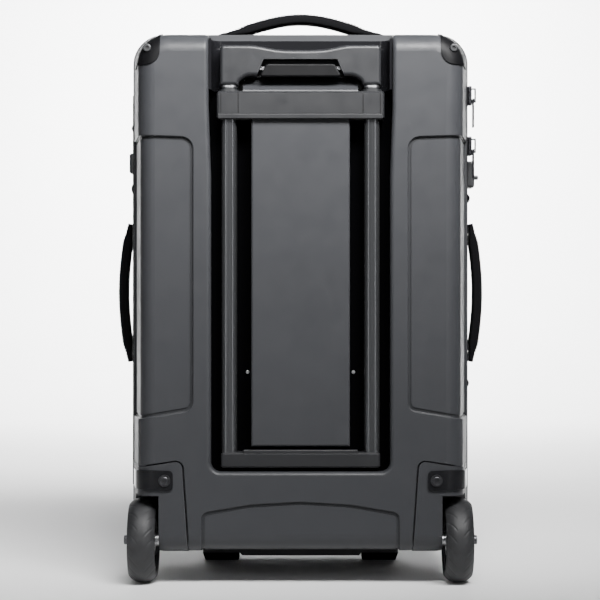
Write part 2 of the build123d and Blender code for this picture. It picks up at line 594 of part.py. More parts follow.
rod_wells = block(-TUBE_X - 3.0, -TUBE_X + 3.0, TUBE_D - 2.6, TUBE_D + 2.6, 480.0, 511.0) \
    + block(TUBE_X - 3.0, TUBE_X + 3.0, TUBE_D - 2.6, TUBE_D + 2.6, 480.0, 511.0)
hollow_grip = grip.part - release_room - rod_channel - rod_wells - tube_sockets
lower_half = block(-100, 100, -20.0, 60.0, 470.0, GRIP_SPLIT)
grip_body = hollow_grip & lower_half
grip_cap = hollow_grip - lower_half
save(Part() + [grip_body], "grip_body")
save(Part() + [grip_cap], "grip_cap")
ROD_LOW = 150.0
crossbar = block(-TUBE_X - 2.0, TUBE_X + 2.0, TUBE_D - 1.8, TUBE_D + 1.8, 506.2, 509.2)
rods = [block(side * TUBE_X - 2.0, side * TUBE_X + 2.0, TUBE_D - 1.8, TUBE_D + 1.8, ROD_LOW, 506.2)
        for side in (-1, 1)]
release_bar = release_bar - crossbar
save(Part() + [release_bar], "release_bar")
push_rods = crossbar + rods[0] + rods[1]
save(Part() + [push_rods], "push_rods")

# ---- Lining and packing straps inside the shell ----
LINING_GAP, LINING_WALL, LINING_FLOOR = 0.4, 1.4, 34.0
lining_outer = pan(WALL + LINING_GAP, 96.0) & block(-200, 200, LINING_FLOOR, 97.0, 0.0, 600.0)
lining_inner = pan(WALL + LINING_GAP + LINING_WALL, 98.0) \
    & block(-200, 200, LINING_FLOOR + LINING_WALL, 99.0, 0.0, 600.0)
for side in (-1, 1):
    lining_outer = lining_outer - wheel_corner(side, 1.6)
    lining_inner = lining_inner - wheel_corner(side, 1.6 + LINING_WALL)
lining = lining_outer - lining_inner
save(Part() + [lining], "rear_lining")

STRAP_Z, STRAP_HALF = (215.0, 385.0), 12.5
strap_near = LINING_FLOOR + LINING_WALL
straps = [block(-146.0, 146.0, strap_near, strap_near + 1.4, z - STRAP_HALF, z + STRAP_HALF) for z in STRAP_Z]
save(Compound(children=straps), "packing_straps")
buckles = [block(-24.0, 24.0, strap_near + 1.5, strap_near + 8.0, z - 17.0, z + 17.0, 2.4) for z in STRAP_Z]
save(Compound(children=buckles), "packing_buckles")

# ---- Soft front half ----
COVER_TAPER, COVER_EDGE = 2.0, 26.0


def cover_form(inset, near, far):
    with BuildPart() as form:
        for depth, tuck in ((near, 0.0), (far, COVER_TAPER)):
            with BuildSketch(at_depth(depth)):
                add(rounded_outline(COVER_HALF - tuck - inset, COVER_LOW + tuck + inset,
                                    COVER_HIGH - tuck - inset, TOP_CORNER - inset, LOW_CORNER - inset))
        loft()
        fillet(form.faces().sort_by(Axis.Y)[-1].edges(), COVER_EDGE - 1.5 * inset)
    return form.part


front_cover = cover_form(0.0, COVER_DEPTH, COVER_FRONT) \
    - cover_form(COVER_WALL, COVER_DEPTH - 1.0, COVER_FRONT - COVER_WALL)
save(Part() + [front_cover], "front_cover")

with BuildPart() as pocket:
    with BuildSketch(at_depth(COVER_FRONT)):
        add(rounded_outline(138.0, 66.0, 430.0, 16.0, 26.0))
    extrude(amount=-(POCKET_FRONT - COVER_FRONT))
    fillet(pocket.faces().sort_by(Axis.Y)[-1].edges(), 6.0)
save(pocket.part, "front_pocket")
POCKET_ZIP_Z, POCKET_ZIP_HALF = 440.0, 128.0
save(block(-POCKET_ZIP_HALF, POCKET_ZIP_HALF, COVER_FRONT, COVER_FRONT + 1.6, POCKET_ZIP_Z - 5.0,
           POCKET_ZIP_Z + 5.0), "pocket_zipper")

# ---- Front foot ----
FOOT_NEAR, FOOT_FAR, FOOT_HALF, FOOT_PAD_IN, FOOT_PAD_TOP = 184.0, 210.0, 105.0, 65.0, 8.0
foot_points = [(-FOOT_HALF, FOOT_PAD_TOP), (-FOOT_HALF, COVER_LOW + 1.0), (FOOT_HALF, COVER_LOW + 1.0),
               (FOOT_HALF, FOOT_PAD_TOP), (FOOT_PAD_IN, FOOT_PAD_TOP), (FOOT_PAD_IN - 2.0, 5.0),
               (-FOOT_PAD_IN + 2.0, 5.0), (-FOOT_PAD_IN, FOOT_PAD_TOP)]
foot_bar = prism(foot_points, FOOT_NEAR, FOOT_FAR)
foot_bar = foot_bar.fillet(4.0, [edge for edge in foot_bar.edges().filter_by(Axis.Z)])
foot_bar = foot_bar - cover_form(0.0, COVER_DEPTH, COVER_FRONT)
save(Part() + [foot_bar], "foot_bar")
pad_points = [(FOOT_PAD_IN + 1.0, 0.0), (FOOT_PAD_IN + 1.0, FOOT_PAD_TOP), (FOOT_HALF, FOOT_PAD_TOP),
              (FOOT_HALF - 3.0, 0.0)]
foot_pad = prism(pad_points, FOOT_NEAR + 1.0, FOOT_FAR - 1.0)
foot_pad = foot_pad.fillet(1.2, foot_pad.edges().group_by(Axis.Z)[0])
save(Compound(children=[foot_pad, mirrored(foot_pad)]), "foot_pads")


# ---- Carry handles ----
ARCH_AT = 40.0


def arched_band(root, reach, half_span, thick, sag, end_thick):
    """Arched band in local coordinates: root and reach are its low and high sides.

    sag is how far the band drops at ARCH_AT from its middle.
    """
    outer_end = root + end_thick
    with BuildSketch(Plane.XY, mode=Mode.PRIVATE) as band:
        with BuildLine():
            Spline((-half_span, outer_end), (-ARCH_AT, reach - sag), (0.0, reach), (ARCH_AT, reach - sag),
                   (half_span, outer_end))
            Line((half_span, outer_end), (half_span, root))
            Spline((half_span, root), (ARCH_AT, reach - thick - sag), (0.0, reach - thick),
                   (-ARCH_AT, reach - thick - sag), (-half_span, root))
            Line((-half_span, root), (-half_span, outer_end))
        make_face()
    return band.sketch


SIDE_WALL_GAP = 4.6
side_root = COVER_HALF + SIDE_WALL_GAP
SIDE_HALF_SPAN, TOP_HALF_SPAN = 73.0, 76.0
HANDLE_HALF_BAND = 11.0
with BuildPart() as side_handle:
    with BuildSketch(Plane((0, REAR_FACE + HANDLE_D - HANDLE_HALF_BAND, SIDE_HANDLE_Z), x_dir=(0, 0, 1),
                           z_dir=(0, 1, 0))):
        add(arched_band(side_root, HANDLE_REACH, SIDE_HALF_SPAN, HANDLE_THICK, 2.4, 10.0))
    extrude(amount=2 * HANDLE_HALF_BAND)
    long_edges = side_handle.edges().filter_by(GeomType.BSPLINE)
    fillet(long_edges, 3.2)
save(side_handle.part, "side_handle_right")
save(mirrored(side_handle.part), "side_handle_left")

TOP_HANDLE_D, TOP_REACH = 150.0, 580.0
top_root = COVER_HIGH + SIDE_WALL_GAP
with BuildPart() as top_handle:
    with BuildSketch(Plane((0, REAR_FACE + TOP_HANDLE_D + HANDLE_HALF_BAND, 0), x_dir=(1, 0, 0),
                           z_dir=(0, -1, 0))):
        add(arched_band(top_root, TOP_REACH, TOP_HALF_SPAN, HANDLE_THICK, 8.2, 5.6))
    extrude(amount=2 * HANDLE_HALF_BAND)
    long_edges = top_handle.edges().filter_by(GeomType.BSPLINE)
    fillet(long_edges, 2.4)
save(top_handle.part, "top_handle")

ANCHOR_LENGTH, ANCHOR_THICK, TOP_ANCHOR_THICK = 17.0, 5.6, 10.4
anchors = []
for side in (-1, 1):
    for end in (-1, 1):
        near_z = SIDE_HANDLE_Z + end * (SIDE_HALF_SPAN + 0.6)
        far_z = near_z + end * ANCHOR_LENGTH
        anchors.append(block(min(side * (COVER_HALF - 1.2), side * (COVER_HALF + ANCHOR_THICK)),
                             max(side * (COVER_HALF - 1.2), side * (COVER_HALF + ANCHOR_THICK)),
                             HANDLE_D - 13.0, HANDLE_D + 13.0, min(near_z, far_z), max(near_z, far_z), 2.0))
    near_x, far_x = side * (TOP_HALF_SPAN + 0.6), side * (TOP_HALF_SPAN + 0.6 + ANCHOR_LENGTH)
    anchors.append(block(min(near_x, far_x), max(near_x, far_x), TOP_HANDLE_D - 13.0, TOP_HANDLE_D + 13.0,
                         COVER_HIGH - 1.2, COVER_HIGH + TOP_ANCHOR_THICK, 2.4))
cover_solid = cover_form(0.0, COVER_DEPTH, COVER_FRONT)
save(Compound(children=[(anchor - cover_solid).solids()[0] for anchor in anchors]), "handle_anchors")

# ---- Buckles and webbing loops on the sides of the soft half ----
left_buckle = block(-COVER_HALF - 7.5, -COVER_HALF + 1.0, 119.0, 141.0, 411.0, 432.0, 2.4)
right_buckle = block(COVER_HALF - 1.0, COVER_HALF + 10.5, 119.0, 141.0, 396.0, 424.0, 2.8)
right_nub = block(COVER_HALF + 10.0, COVER_HALF + 15.0, 126.0, 134.0, 405.0, 409.5, 1.2)
buckle_solids = [left_buckle - cover_solid, (right_buckle + right_nub) - cover_solid]
save(Compound(children=[solid.solids()[0] for solid in buckle_solids]), "side_buckles")
LOOPS = [(-1, 454.5, 461.5, 6.0), (-1, 390.0, 400.0, 6.0), (1, 381.0, 389.0, 6.5), (1, 190.0, 196.5, 5.5)]
loops = []
for side, low, high, proud in LOOPS:
    near_x, far_x = side * (COVER_HALF - 1.0), side * (COVER_HALF + proud)
    loops.append(block(min(near_x, far_x), max(near_x, far_x), 118.0, 142.0, low, high, 2.2) - cover_solid)
save(Compound(children=[loop.solids()[0] for loop in loops]), "webbing_loops")

# ---- Zipper sliders and pulls ----
SLIDER_X, SLIDER_D, SLIDER_HEIGHT = HALF_RIM + 1.2, 104.5, 20.0
PIN_R, PLATE_THICK = 0.9, 1.8


def side_slider(top):
    """Slider body with a bridge, on the right side zipper."""
    base = block(SLIDER_X, SLIDER_X + 4.3, SLIDER_D - 5.0, SLIDER_D + 5.0, top - SLIDER_HEIGHT, top, 1.4)
    bridge = block(SLIDER_X + 3.6, SLIDER_X + 8.8, SLIDER_D - 1.7, SLIDER_D + 1.7, top - 17.0, top - 2.0, 0.8)
    slot = block(SLIDER_X + 4.4, SLIDER_X + 7.2, SLIDER_D - 3.0, SLIDER_D + 3.0, top - 15.4, top - 3.6)
    return base + bridge - slot


def side_pull(top, length):
    """Pull plate whose pin lies under the bridge of a slider."""
    pin_x, pin_z = SLIDER_X + 5.8, top - 13.8
    with BuildPart() as pull:
        with BuildSketch(at_depth(SLIDER_D - 3.5)):
            with Locations((pin_x, pin_z)):
                Circle(PIN_R)
        extrude(amount=-7.0)
        for arm in (-3.5, 2.1):
            with Locations((pin_x, REAR_FACE + SLIDER_D + arm + 0.7, pin_z - 3.6)):
                Box(PLATE_THICK, 1.4, 8.8)
        with Locations((pin_x, REAR_FACE + SLIDER_D, pin_z - 7.8 - length / 2)):
            Box(PLATE_THICK, 7.0, length)
    return pull.part


UPPER_SLIDER_TOP, LOWER_SLIDER_TOP, PULL_LENGTH = 500.0, 448.0, 21.0
for name, top in (("upper", UPPER_SLIDER_TOP), ("lower", LOWER_SLIDER_TOP)):
    save(side_slider(top), f"{name}_slider")
    save(side_pull(top, PULL_LENGTH), f"{name}_pull")

POCKET_SLIDER_X = 112.0
slider_near = COVER_FRONT + 1.9
POCKET_BAR = slider_near + 7.4           # depth of the bar that the pull swings on
pocket_slider = block(POCKET_SLIDER_X - 8.0, POCKET_SLIDER_X + 8.0, slider_near, slider_near + 3.4,
                      POCKET_ZIP_Z - 4.5, POCKET_ZIP_Z + 4.5, 1.2)
pocket_bridge = block(POCKET_SLIDER_X - 6.5, POCKET_SLIDER_X + 6.5, slider_near + 2.8, POCKET_BAR + 0.8,
                      POCKET_ZIP_Z - 1.2, POCKET_ZIP_Z + 1.2, 0.5)
pocket_slot = block(POCKET_SLIDER_X - 4.6, POCKET_SLIDER_X + 4.6, slider_near + 3.4, POCKET_BAR - 0.8,
                    POCKET_ZIP_Z - 3.0, POCKET_ZIP_Z + 3.0)
save(Part() + [pocket_slider + pocket_bridge - pocket_slot], "pocket_slider")
with BuildPart() as pocket_pull:
    with Locations((POCKET_SLIDER_X, REAR_FACE + POCKET_BAR, POCKET_ZIP_Z - 14.5)):
        Box(7.0, 1.6, 25.0)
    fillet(pocket_pull.edges().filter_by(Axis.Y).group_by(Axis.Z)[0], 2.5)
    with BuildSketch(Plane.YZ.offset(POCKET_SLIDER_X - 2.5)):
        with Locations((REAR_FACE + POCKET_BAR, POCKET_ZIP_Z)):
            Circle(2.9)
    extrude(amount=5.0)
    with BuildSketch(Plane.YZ.offset(POCKET_SLIDER_X - 5.0)):
        with Locations((REAR_FACE + POCKET_BAR, POCKET_ZIP_Z)):
            Circle(1.75)
    extrude(amount=10.0, mode=Mode.SUBTRACT)
save(pocket_pull.part, "pocket_pull")
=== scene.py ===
"""Looks of a two-wheeled hard-back trolley bag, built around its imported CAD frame."""

import math

import bmesh
import bpy
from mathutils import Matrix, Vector, noise


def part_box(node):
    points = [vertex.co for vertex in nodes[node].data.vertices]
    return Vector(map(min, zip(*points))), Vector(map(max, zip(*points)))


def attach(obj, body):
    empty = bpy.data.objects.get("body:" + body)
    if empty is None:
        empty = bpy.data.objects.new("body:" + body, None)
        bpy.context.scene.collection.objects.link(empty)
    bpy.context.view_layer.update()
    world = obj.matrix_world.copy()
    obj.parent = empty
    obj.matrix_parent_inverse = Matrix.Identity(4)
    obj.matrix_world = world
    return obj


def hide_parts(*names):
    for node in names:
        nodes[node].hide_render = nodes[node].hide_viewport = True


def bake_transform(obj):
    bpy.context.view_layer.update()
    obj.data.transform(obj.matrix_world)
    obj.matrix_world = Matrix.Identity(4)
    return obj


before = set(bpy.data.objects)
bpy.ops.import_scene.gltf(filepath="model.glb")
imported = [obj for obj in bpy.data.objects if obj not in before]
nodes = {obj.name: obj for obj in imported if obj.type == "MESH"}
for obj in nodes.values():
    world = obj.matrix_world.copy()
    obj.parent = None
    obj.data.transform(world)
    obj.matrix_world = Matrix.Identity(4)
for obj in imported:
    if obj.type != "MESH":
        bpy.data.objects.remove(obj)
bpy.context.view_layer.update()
MM = 0.001

# ---- Sizes read from the frame ----
shell_low, shell_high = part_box("rear_shell")
cover_low, cover_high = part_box("front_cover")
pocket_low, pocket_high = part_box("front_pocket")
REAR = shell_low.y                        # the shell's flat rear face
RIM_HALF = shell_high.x
RIM_LOW, RIM_HIGH = shell_low.z, shell_high.z
TOP_CORNER, LOW_CORNER = 30 * MM, 28 * MM

# ==== Mesh helpers ====
def add_mesh(name, verts, faces, material, body, smooth=True):
    """A mesh piece in the row frame; it rides on a body unless body is None."""
    mesh = bpy.data.meshes.new(name)
    mesh.from_pydata([tuple(v) for v in verts], [], faces)
    mesh.validate()
    mesh.update()
    if smooth:
        mesh.polygons.foreach_set("use_smooth", [True] * len(mesh.polygons))
    piece = bpy.data.objects.new(name, mesh)
    bpy.context.scene.collection.objects.link(piece)
    piece.data.materials.append(material)
    if body:
        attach(piece, body)
    return piece


def ring_faces(rings, count, closed_around=True, closed_along=False, start=0):
    """Quads between rings of vertices that are stored one after another."""
    faces = []
    spans = rings if closed_along else rings - 1
    steps = count if closed_around else count - 1
    for i in range(spans):
        a = start + i * count
        b = start + ((i + 1) % rings) * count
        for j in range(steps):
            k = (j + 1) % count
            faces.append((a + j, a + k, b + k, b + j))
    return faces


def perimeter(outset, count, top_r=TOP_CORNER, low_r=LOW_CORNER, half=RIM_HALF, low=RIM_LOW, high=RIM_HIGH):
    """Points (x, z, normal x, normal z), evenly spaced round an upright rounded rectangle."""
    half, low, high = half + outset, low - outset, high + outset
    top_r, low_r = max(top_r + outset, 1e-4), max(low_r + outset, 1e-4)
    pieces = [
        ("line", (half, low + low_r), (half, high - top_r)),
        ("arc", (half - top_r, high - top_r), top_r, 0.0),
        ("line", (half - top_r, high), (-half + top_r, high)),
        ("arc", (-half + top_r, high - top_r), top_r, 90.0),
        ("line", (-half, high - top_r), (-half, low + low_r)),
        ("arc", (-half + low_r, low + low_r), low_r, 180.0),
        ("line", (-half + low_r, low), (half - low_r, low)),
        ("arc", (half - low_r, low + low_r), low_r, 270.0),
    ]
    lengths = [math.dist(p[1], p[2]) if p[0] == "line" else p[2] * math.pi / 2 for p in pieces]
    total = sum(lengths)
    points, index, done = [], 0, 0.0
    for i in range(count):
        at = total * i / count
        while at > done + lengths[index]:
            done += lengths[index]
            index += 1
        piece, t = pieces[index], (at - done) / lengths[index]
        if piece[0] == "line":
            (x0, z0), (x1, z1) = piece[1], piece[2]
            x, z = x0 + (x1 - x0) * t, z0 + (z1 - z0) * t
            length = math.dist(piece[1], piece[2])
            normal = ((z1 - z0) / length, -(x1 - x0) / length)
        else:
            angle = math.radians(piece[3] + 90.0 * t)
            normal = (math.cos(angle), math.sin(angle))
            x, z = piece[1][0] + piece[2] * normal[0], piece[1][1] + piece[2] * normal[1]
        points.append((x, z, normal[0], normal[1]))
    return points


def rounded_section(width, thick, radius, per_corner=4):
    """Closed outline (a, b) of a rounded rectangle, a across the width."""
    outline = []
    for cx, cy, start in ((1, 1, 0), (-1, 1, 90), (-1, -1, 180), (1, -1, 270)):
        for i in range(per_corner + 1):
            angle = math.radians(start + 90 * i / per_corner)
            outline.append((cx * (width / 2 - radius) + radius * math.cos(angle),
                            cy * (thick / 2 - radius) + radius * math.sin(angle)))
    return outline


def sweep(name, frames, sections, material, body, closed=False):
    """Sweeps outlines along frames of (point, across, out): a goes across, b goes out."""
    count = len(sections[0])
    verts = []
    for (point, across, out), section in zip(frames, sections):
        verts.extend(point + across * a + out * b for a, b in section)
    faces = ring_faces(len(frames), count, True, closed)
    if not closed:
        faces.append(tuple(range(count - 1, -1, -1)))
        last = (len(frames) - 1) * count
        faces.append(tuple(range(last, last + count)))
    return add_mesh(name, verts, faces, material, body)


def rim_loop(name, depth, outset, section, material, body, count=420):
    """Closed loop round the bag's outline at a depth, with a cross-section (a along depth, b outwards)."""
    frames, sections = [], []
    for x, z, nx, nz in perimeter(outset, count):
        frames.append((Vector((x, REAR + depth, z)), Vector((0, 1, 0)), Vector((nx, 0, nz))))
        sections.append(section)
    return sweep(name, frames, sections, material, body, closed=True)


def circle_section(radius, count=10):
    return [(radius * math.cos(2 * math.pi * i / count), radius * math.sin(2 * math.pi * i / count))
            for i in range(count)]


def stitches(name, path, material, body, pitch=3.4 * MM, length=2.4 * MM, radius=0.33 * MM):
    """Row of thread stitches along a path of (point, normal), as one mesh of small capsules."""
    verts, faces = [], []
    travelled, due = 0.0, pitch / 2
    for (p0, n0), (p1, _) in zip(path, path[1:]):
        step = (p1 - p0).length
        if step < 1e-7:
            continue
        along = (p1 - p0) / step
        side = along.cross(n0).normalized()
        while due <= travelled + step:
            centre = p0 + along * (due - travelled)
            base = len(verts)
            for t, scale in ((-0.5, 0.25), (-0.32, 1.0), (0.32, 1.0), (0.5, 0.25)):
                sink = 0.15 if scale < 1 else 0.85
                for k in range(6):
                    angle = k * math.pi / 3
                    verts.append(centre + along * length * t + side * radius * scale * math.cos(angle)
                                 + n0 * radius * (sink + scale * math.sin(angle)))
            faces.extend(ring_faces(4, 6, True, False, base))
            faces.append(tuple(base + k for k in range(5, -1, -1)))
            faces.append(tuple(base + 18 + k for k in range(6)))
            due += pitch
        travelled += step
    return add_mesh(name, verts, faces, material, body)


def smooth_node(name):
    """Smooth shading on a CAD node."""
    mesh = nodes[name].data
    mesh.polygons.foreach_set("use_smooth", [True] * len(mesh.polygons))

# ==== Materials ====
class Nodes:
    """Short-hand for building one material's node tree."""

    def __init__(self, name):
        self.material = bpy.data.materials.new(name)
        self.material.use_nodes = True
        self.tree = self.material.node_tree
        self.shader = self.tree.nodes["Principled BSDF"]
        self.coords = self.add("ShaderNodeTexCoord").outputs["Object"]

    def add(self, kind, **settings):
        node = self.tree.nodes.new(kind)
        for key, value in settings.items():
            if key in node.inputs:
                node.inputs[key].default_value = value
            else:
                setattr(node, key, value)
        return node

    def link(self, source, target):
        self.tree.links.new(source, target)

    def scaled(self, scale):
        mapping = self.add("ShaderNodeMapping")
        mapping.inputs["Scale"].default_value = scale
        self.link(self.coords, mapping.inputs["Vector"])
        return mapping.outputs["Vector"]

    def noise(self, scale, detail=2.0, rough=0.5, vector=None):
        node = self.add("ShaderNodeTexNoise", Scale=scale, Detail=detail, Roughness=rough)
        self.link(vector or self.coords, node.inputs["Vector"])
        return node.outputs["Fac"]

    def ramp(self, source, low, high, low_at=0.0, high_at=1.0):
        node = self.add("ShaderNodeValToRGB")
        node.color_ramp.elements[0].position = low_at
        node.color_ramp.elements[1].position = high_at
        node.color_ramp.elements[0].color = (*low, 1) if hasattr(low, "__len__") else (low, low, low, 1)
        node.color_ramp.elements[1].color = (*high, 1) if hasattr(high, "__len__") else (high, high, high, 1)
        self.link(source, node.inputs["Fac"])
        return node.outputs["Color"]

    def math(self, operation, a, b=None, c=None, clamp=False):
        node = self.add("ShaderNodeMath", operation=operation, use_clamp=clamp)
        for socket, value in zip(node.inputs, (a, b, c)):
            if value is None:
                continue
            if isinstance(value, (int, float)):
                socket.default_value = value
            else:
                self.link(value, socket)
        return node.outputs[0]

    def mix(self, factor, a, b, blend="MIX"):
        node = self.add("ShaderNodeMix", data_type="RGBA", blend_type=blend)
        for socket, value in ((node.inputs[0], factor), (node.inputs[6], a), (node.inputs[7], b)):
            if isinstance(value, (int, float)):
                socket.default_value = value
            elif isinstance(value, tuple):
                socket.default_value = (*value, 1.0)
            else:
                self.link(value, socket)
        return node.outputs[2]

    def painted_gap_shade(self, distance, darkest):
        """Painted shade factor: dark in narrow gaps and grooves, white on open faces."""
        node = self.add("ShaderNodeAmbientOcclusion", samples=8, only_local=True)
        node.inputs["Distance"].default_value = distance
        return self.ramp(node.outputs["AO"], darkest, 1.0, 0.35, 0.92)

    def bump(self, height, strength, distance, below=None):
        node = self.add("ShaderNodeBump", Strength=strength, Distance=distance)
        self.link(height, node.inputs["Height"])
        if below is not None:
            self.link(below, node.inputs["Normal"])
        return node.outputs["Normal"]

    def finish(self, colour=None, roughness=None, normal=None, **fixed):
        for source, socket in ((colour, "Base Color"), (roughness, "Roughness"), (normal, "Normal")):
            if source is not None:
                if isinstance(source, (int, float)):
                    self.shader.inputs[socket].default_value = source
                elif isinstance(source, tuple):
                    self.shader.inputs[socket].default_value = (*source, 1.0)
                else:
                    self.link(source, self.shader.inputs[socket])
        for key, value in fixed.items():
            self.shader.inputs[key.replace("_", " ")].default_value = value
        return self.material


CHANNEL_HALF, CHANNEL_LOW, CHANNEL_HIGH = 90.4 * MM, 108 * MM, 530 * MM
RAMP_HALF, RAMP_LOW, RAMP_HIGH = 57 * MM, 484.1 * MM, 501 * MM
SHADOW_FROM, SHADOW_FADE, SHADOW_END = 7 * MM, 6 * MM, 36 * MM      # depths behind the rear face for the channel's painted shadow


def channel_shadow_mask(n):
    """1 on the trolley channel's depths, which are painted black as shadow, 0 on the open faces and the finger ramp.
    """
    split = n.add("ShaderNodeSeparateXYZ")
    n.link(n.coords, split.inputs[0])
    width, height = n.math("ABSOLUTE", split.outputs["X"]), split.outputs["Z"]
    deep = n.math("MULTIPLY_ADD", split.outputs["Y"], 1 / SHADOW_FADE, -(REAR + SHADOW_FROM) / SHADOW_FADE, True)
    shallow = n.math("LESS_THAN", split.outputs["Y"], REAR + SHADOW_END)

    def inside(half, low, high):
        across = n.math("LESS_THAN", width, half)
        up = n.math("MULTIPLY", n.math("GREATER_THAN", height, low), n.math("LESS_THAN", height, high))
        return n.math("MULTIPLY", across, up)

    within = inside(CHANNEL_HALF, CHANNEL_LOW, CHANNEL_HIGH)
    on_ramp = inside(RAMP_HALF, RAMP_LOW, RAMP_HIGH)
    in_channel = n.math("MULTIPLY", n.math("MULTIPLY", deep, shallow), within)
    return n.math("MULTIPLY", in_channel, n.math("SUBTRACT", 1.0, on_ramp))


# Near-black painted into the channel's depths as shadow.
CHANNEL_SHADOW_COLOUR = (0.0015, 0.0015, 0.0018)
OPEN_LEVEL = 0.24                         # specular level of the shell outside its channel


def moulded_plastic(name, colour, roughness, grain=2600.0, grain_height=0.012, shade_reach=3.5 * MM,
                    paint_channel_shadow=False, level=0.5):
    """Moulded plastic with a fine spark-eroded grain, faint flow marks and painted shade in its gaps and grooves,
    optionally with the trolley channel's depths painted black as shadow.
    """
    n = Nodes(name)
    clouds = n.noise(9.0, 3.0)
    fine = n.noise(grain, 3.0, 0.6)
    base = n.mix(clouds, tuple(c * 0.9 for c in colour), tuple(c * 1.1 for c in colour))
    base = n.mix(n.ramp(fine, 0.0, 1.0, 0.35, 0.7), base, n.mix(0.5, base, tuple(c * 1.25 for c in colour)))
    # Painted shade in gaps and grooves, multiplied into the colour.
    base = n.mix(1.0, base, n.painted_gap_shade(shade_reach, 0.25), "MULTIPLY")
    rough = n.ramp(n.noise(60.0, 4.0, 0.6), roughness - 0.05, roughness + 0.06, 0.3, 0.7)
    if paint_channel_shadow:
        # The channel's depths are painted near-black as shadow, made rough and kept from reflecting.
        inside = channel_shadow_mask(n)
        base = n.mix(inside, base, CHANNEL_SHADOW_COLOUR)
        rough = n.mix(inside, rough, (0.95, 0.95, 0.95))
        open_level = n.math("MULTIPLY_ADD", inside, -OPEN_LEVEL, OPEN_LEVEL)
        n.link(open_level, n.shader.inputs["Specular IOR Level"])
    else:
        n.shader.inputs["Specular IOR Level"].default_value = level
    height = n.mix(0.5, fine, n.noise(grain * 0.35, 2.0))
    normal = n.bump(height, 0.5, grain_height * MM)
    return n.finish(base, rough, normal, IOR=1.5)


def gloss_plastic(name, colour, roughness=0.09):
    """Polished plastic with faint swirl scratches and dust."""
    n = Nodes(name)
    swirl = n.noise(420.0, 5.0, 0.75)
    rough = n.ramp(swirl, roughness, roughness + 0.06, 0.45, 0.75)
    base = n.mix(n.ramp(n.noise(35.0, 5.0, 0.7), 0.0, 1.0, 0.62, 0.9), colour, tuple(c * 1.8 for c in colour))
    # Painted shade in gaps and grooves, multiplied into the colour.
    base = n.mix(1.0, base, n.painted_gap_shade(3 * MM, 0.4), "MULTIPLY")
    normal = n.bump(n.noise(55.0, 1.0), 0.06, 0.4 * MM)
    return n.finish(base, rough, normal, IOR=1.52, Specular_IOR_Level=0.28, Coat_Weight=0.2, Coat_Roughness=0.05)


def anodised_tube(name, colour):
    """Dark anodised tube with drawn lines along its length."""
    n = Nodes(name)
    lines = n.noise(1.0, 4.0, 0.6, n.scaled((900.0, 900.0, 4.0)))
    soft = n.noise(1.0, 2.0, 0.5, n.scaled((300.0, 300.0, 3.0)))
    base = n.mix(lines, tuple(c * 0.8 for c in colour), tuple(c * 1.15 for c in colour))
    rough = n.ramp(n.mix(0.5, lines, soft), 0.15, 0.28, 0.3, 0.7)
    normal = n.bump(lines, 0.04, 0.02 * MM)
    return n.finish(base, rough, normal, Metallic=0.9, Anisotropic=0.3)


def machined_steel(name, colour, roughness=0.3):
    """Turned metal with uneven polish."""
    n = Nodes(name)
    turned = n.noise(900.0, 4.0, 0.6)
    base = n.mix(turned, tuple(c * 0.8 for c in colour), tuple(min(1.0, c * 1.15) for c in colour))
    rough = n.ramp(turned, roughness - 0.08, roughness + 0.12, 0.3, 0.7)
    return n.finish(base, rough, n.bump(turned, 0.15, 0.02 * MM), Metallic=1.0)


def woven(name, colour, thread=0.9, roughness=0.72, height=0.16, sheen=0.25, slant=0.0, wear=1.5):
    """Plain weave from two crossed thread waves in the piece's own coordinates.

    thread and height are in mm, slant leans the weft and wear is how much lighter the worn cloth is.
    """
    n = Nodes(name)
    split = n.add("ShaderNodeSeparateXYZ")
    n.link(n.coords, split.inputs[0])
    warp_at = n.math("ADD", split.outputs["X"], split.outputs["Y"])
    weft_at = n.math("ADD", split.outputs["Z"], n.math("MULTIPLY", split.outputs["Y"], slant))
    turn = math.pi / (thread * MM)
    warp = n.math("SINE", n.math("MULTIPLY", warp_at, turn))
    weft = n.math("SINE", n.math("MULTIPLY", weft_at, turn))
    over = n.math("MULTIPLY", warp, weft)
    ridges = n.math("ADD", n.math("ABSOLUTE", warp), n.math("ABSOLUTE", weft))
    cloth = n.math("ADD", n.math("MULTIPLY", over, 0.5), n.math("MULTIPLY", ridges, 0.4))
    fuzz = n.noise(1800.0, 3.0, 0.7)
    surface = n.math("ADD", cloth, n.math("MULTIPLY", fuzz, 0.35))
    dirt = n.ramp(n.noise(24.0, 4.0, 0.65), 0.0, 1.0, 0.4, 0.85)
    shade = n.ramp(surface, 0.55, 1.0, 0.0, 0.9)
    base = n.mix(dirt, tuple(c * 0.85 for c in colour), tuple(c * wear for c in colour))
    base = n.mix(1.0, base, shade, "MULTIPLY")
    # Painted shade in gaps and creases, multiplied into the colour.
    base = n.mix(1.0, base, n.painted_gap_shade(4 * MM, 0.35), "MULTIPLY")
    rough = n.ramp(dirt, roughness, min(1.0, roughness + 0.1))
    normal = n.bump(surface, 0.55, height * MM)
    normal = n.bump(n.noise(38.0, 3.0), 0.12, 1.2 * MM, normal)
    return n.finish(base, rough, normal, Sheen_Weight=sheen, Sheen_Roughness=0.5, Specular_IOR_Level=0.12)


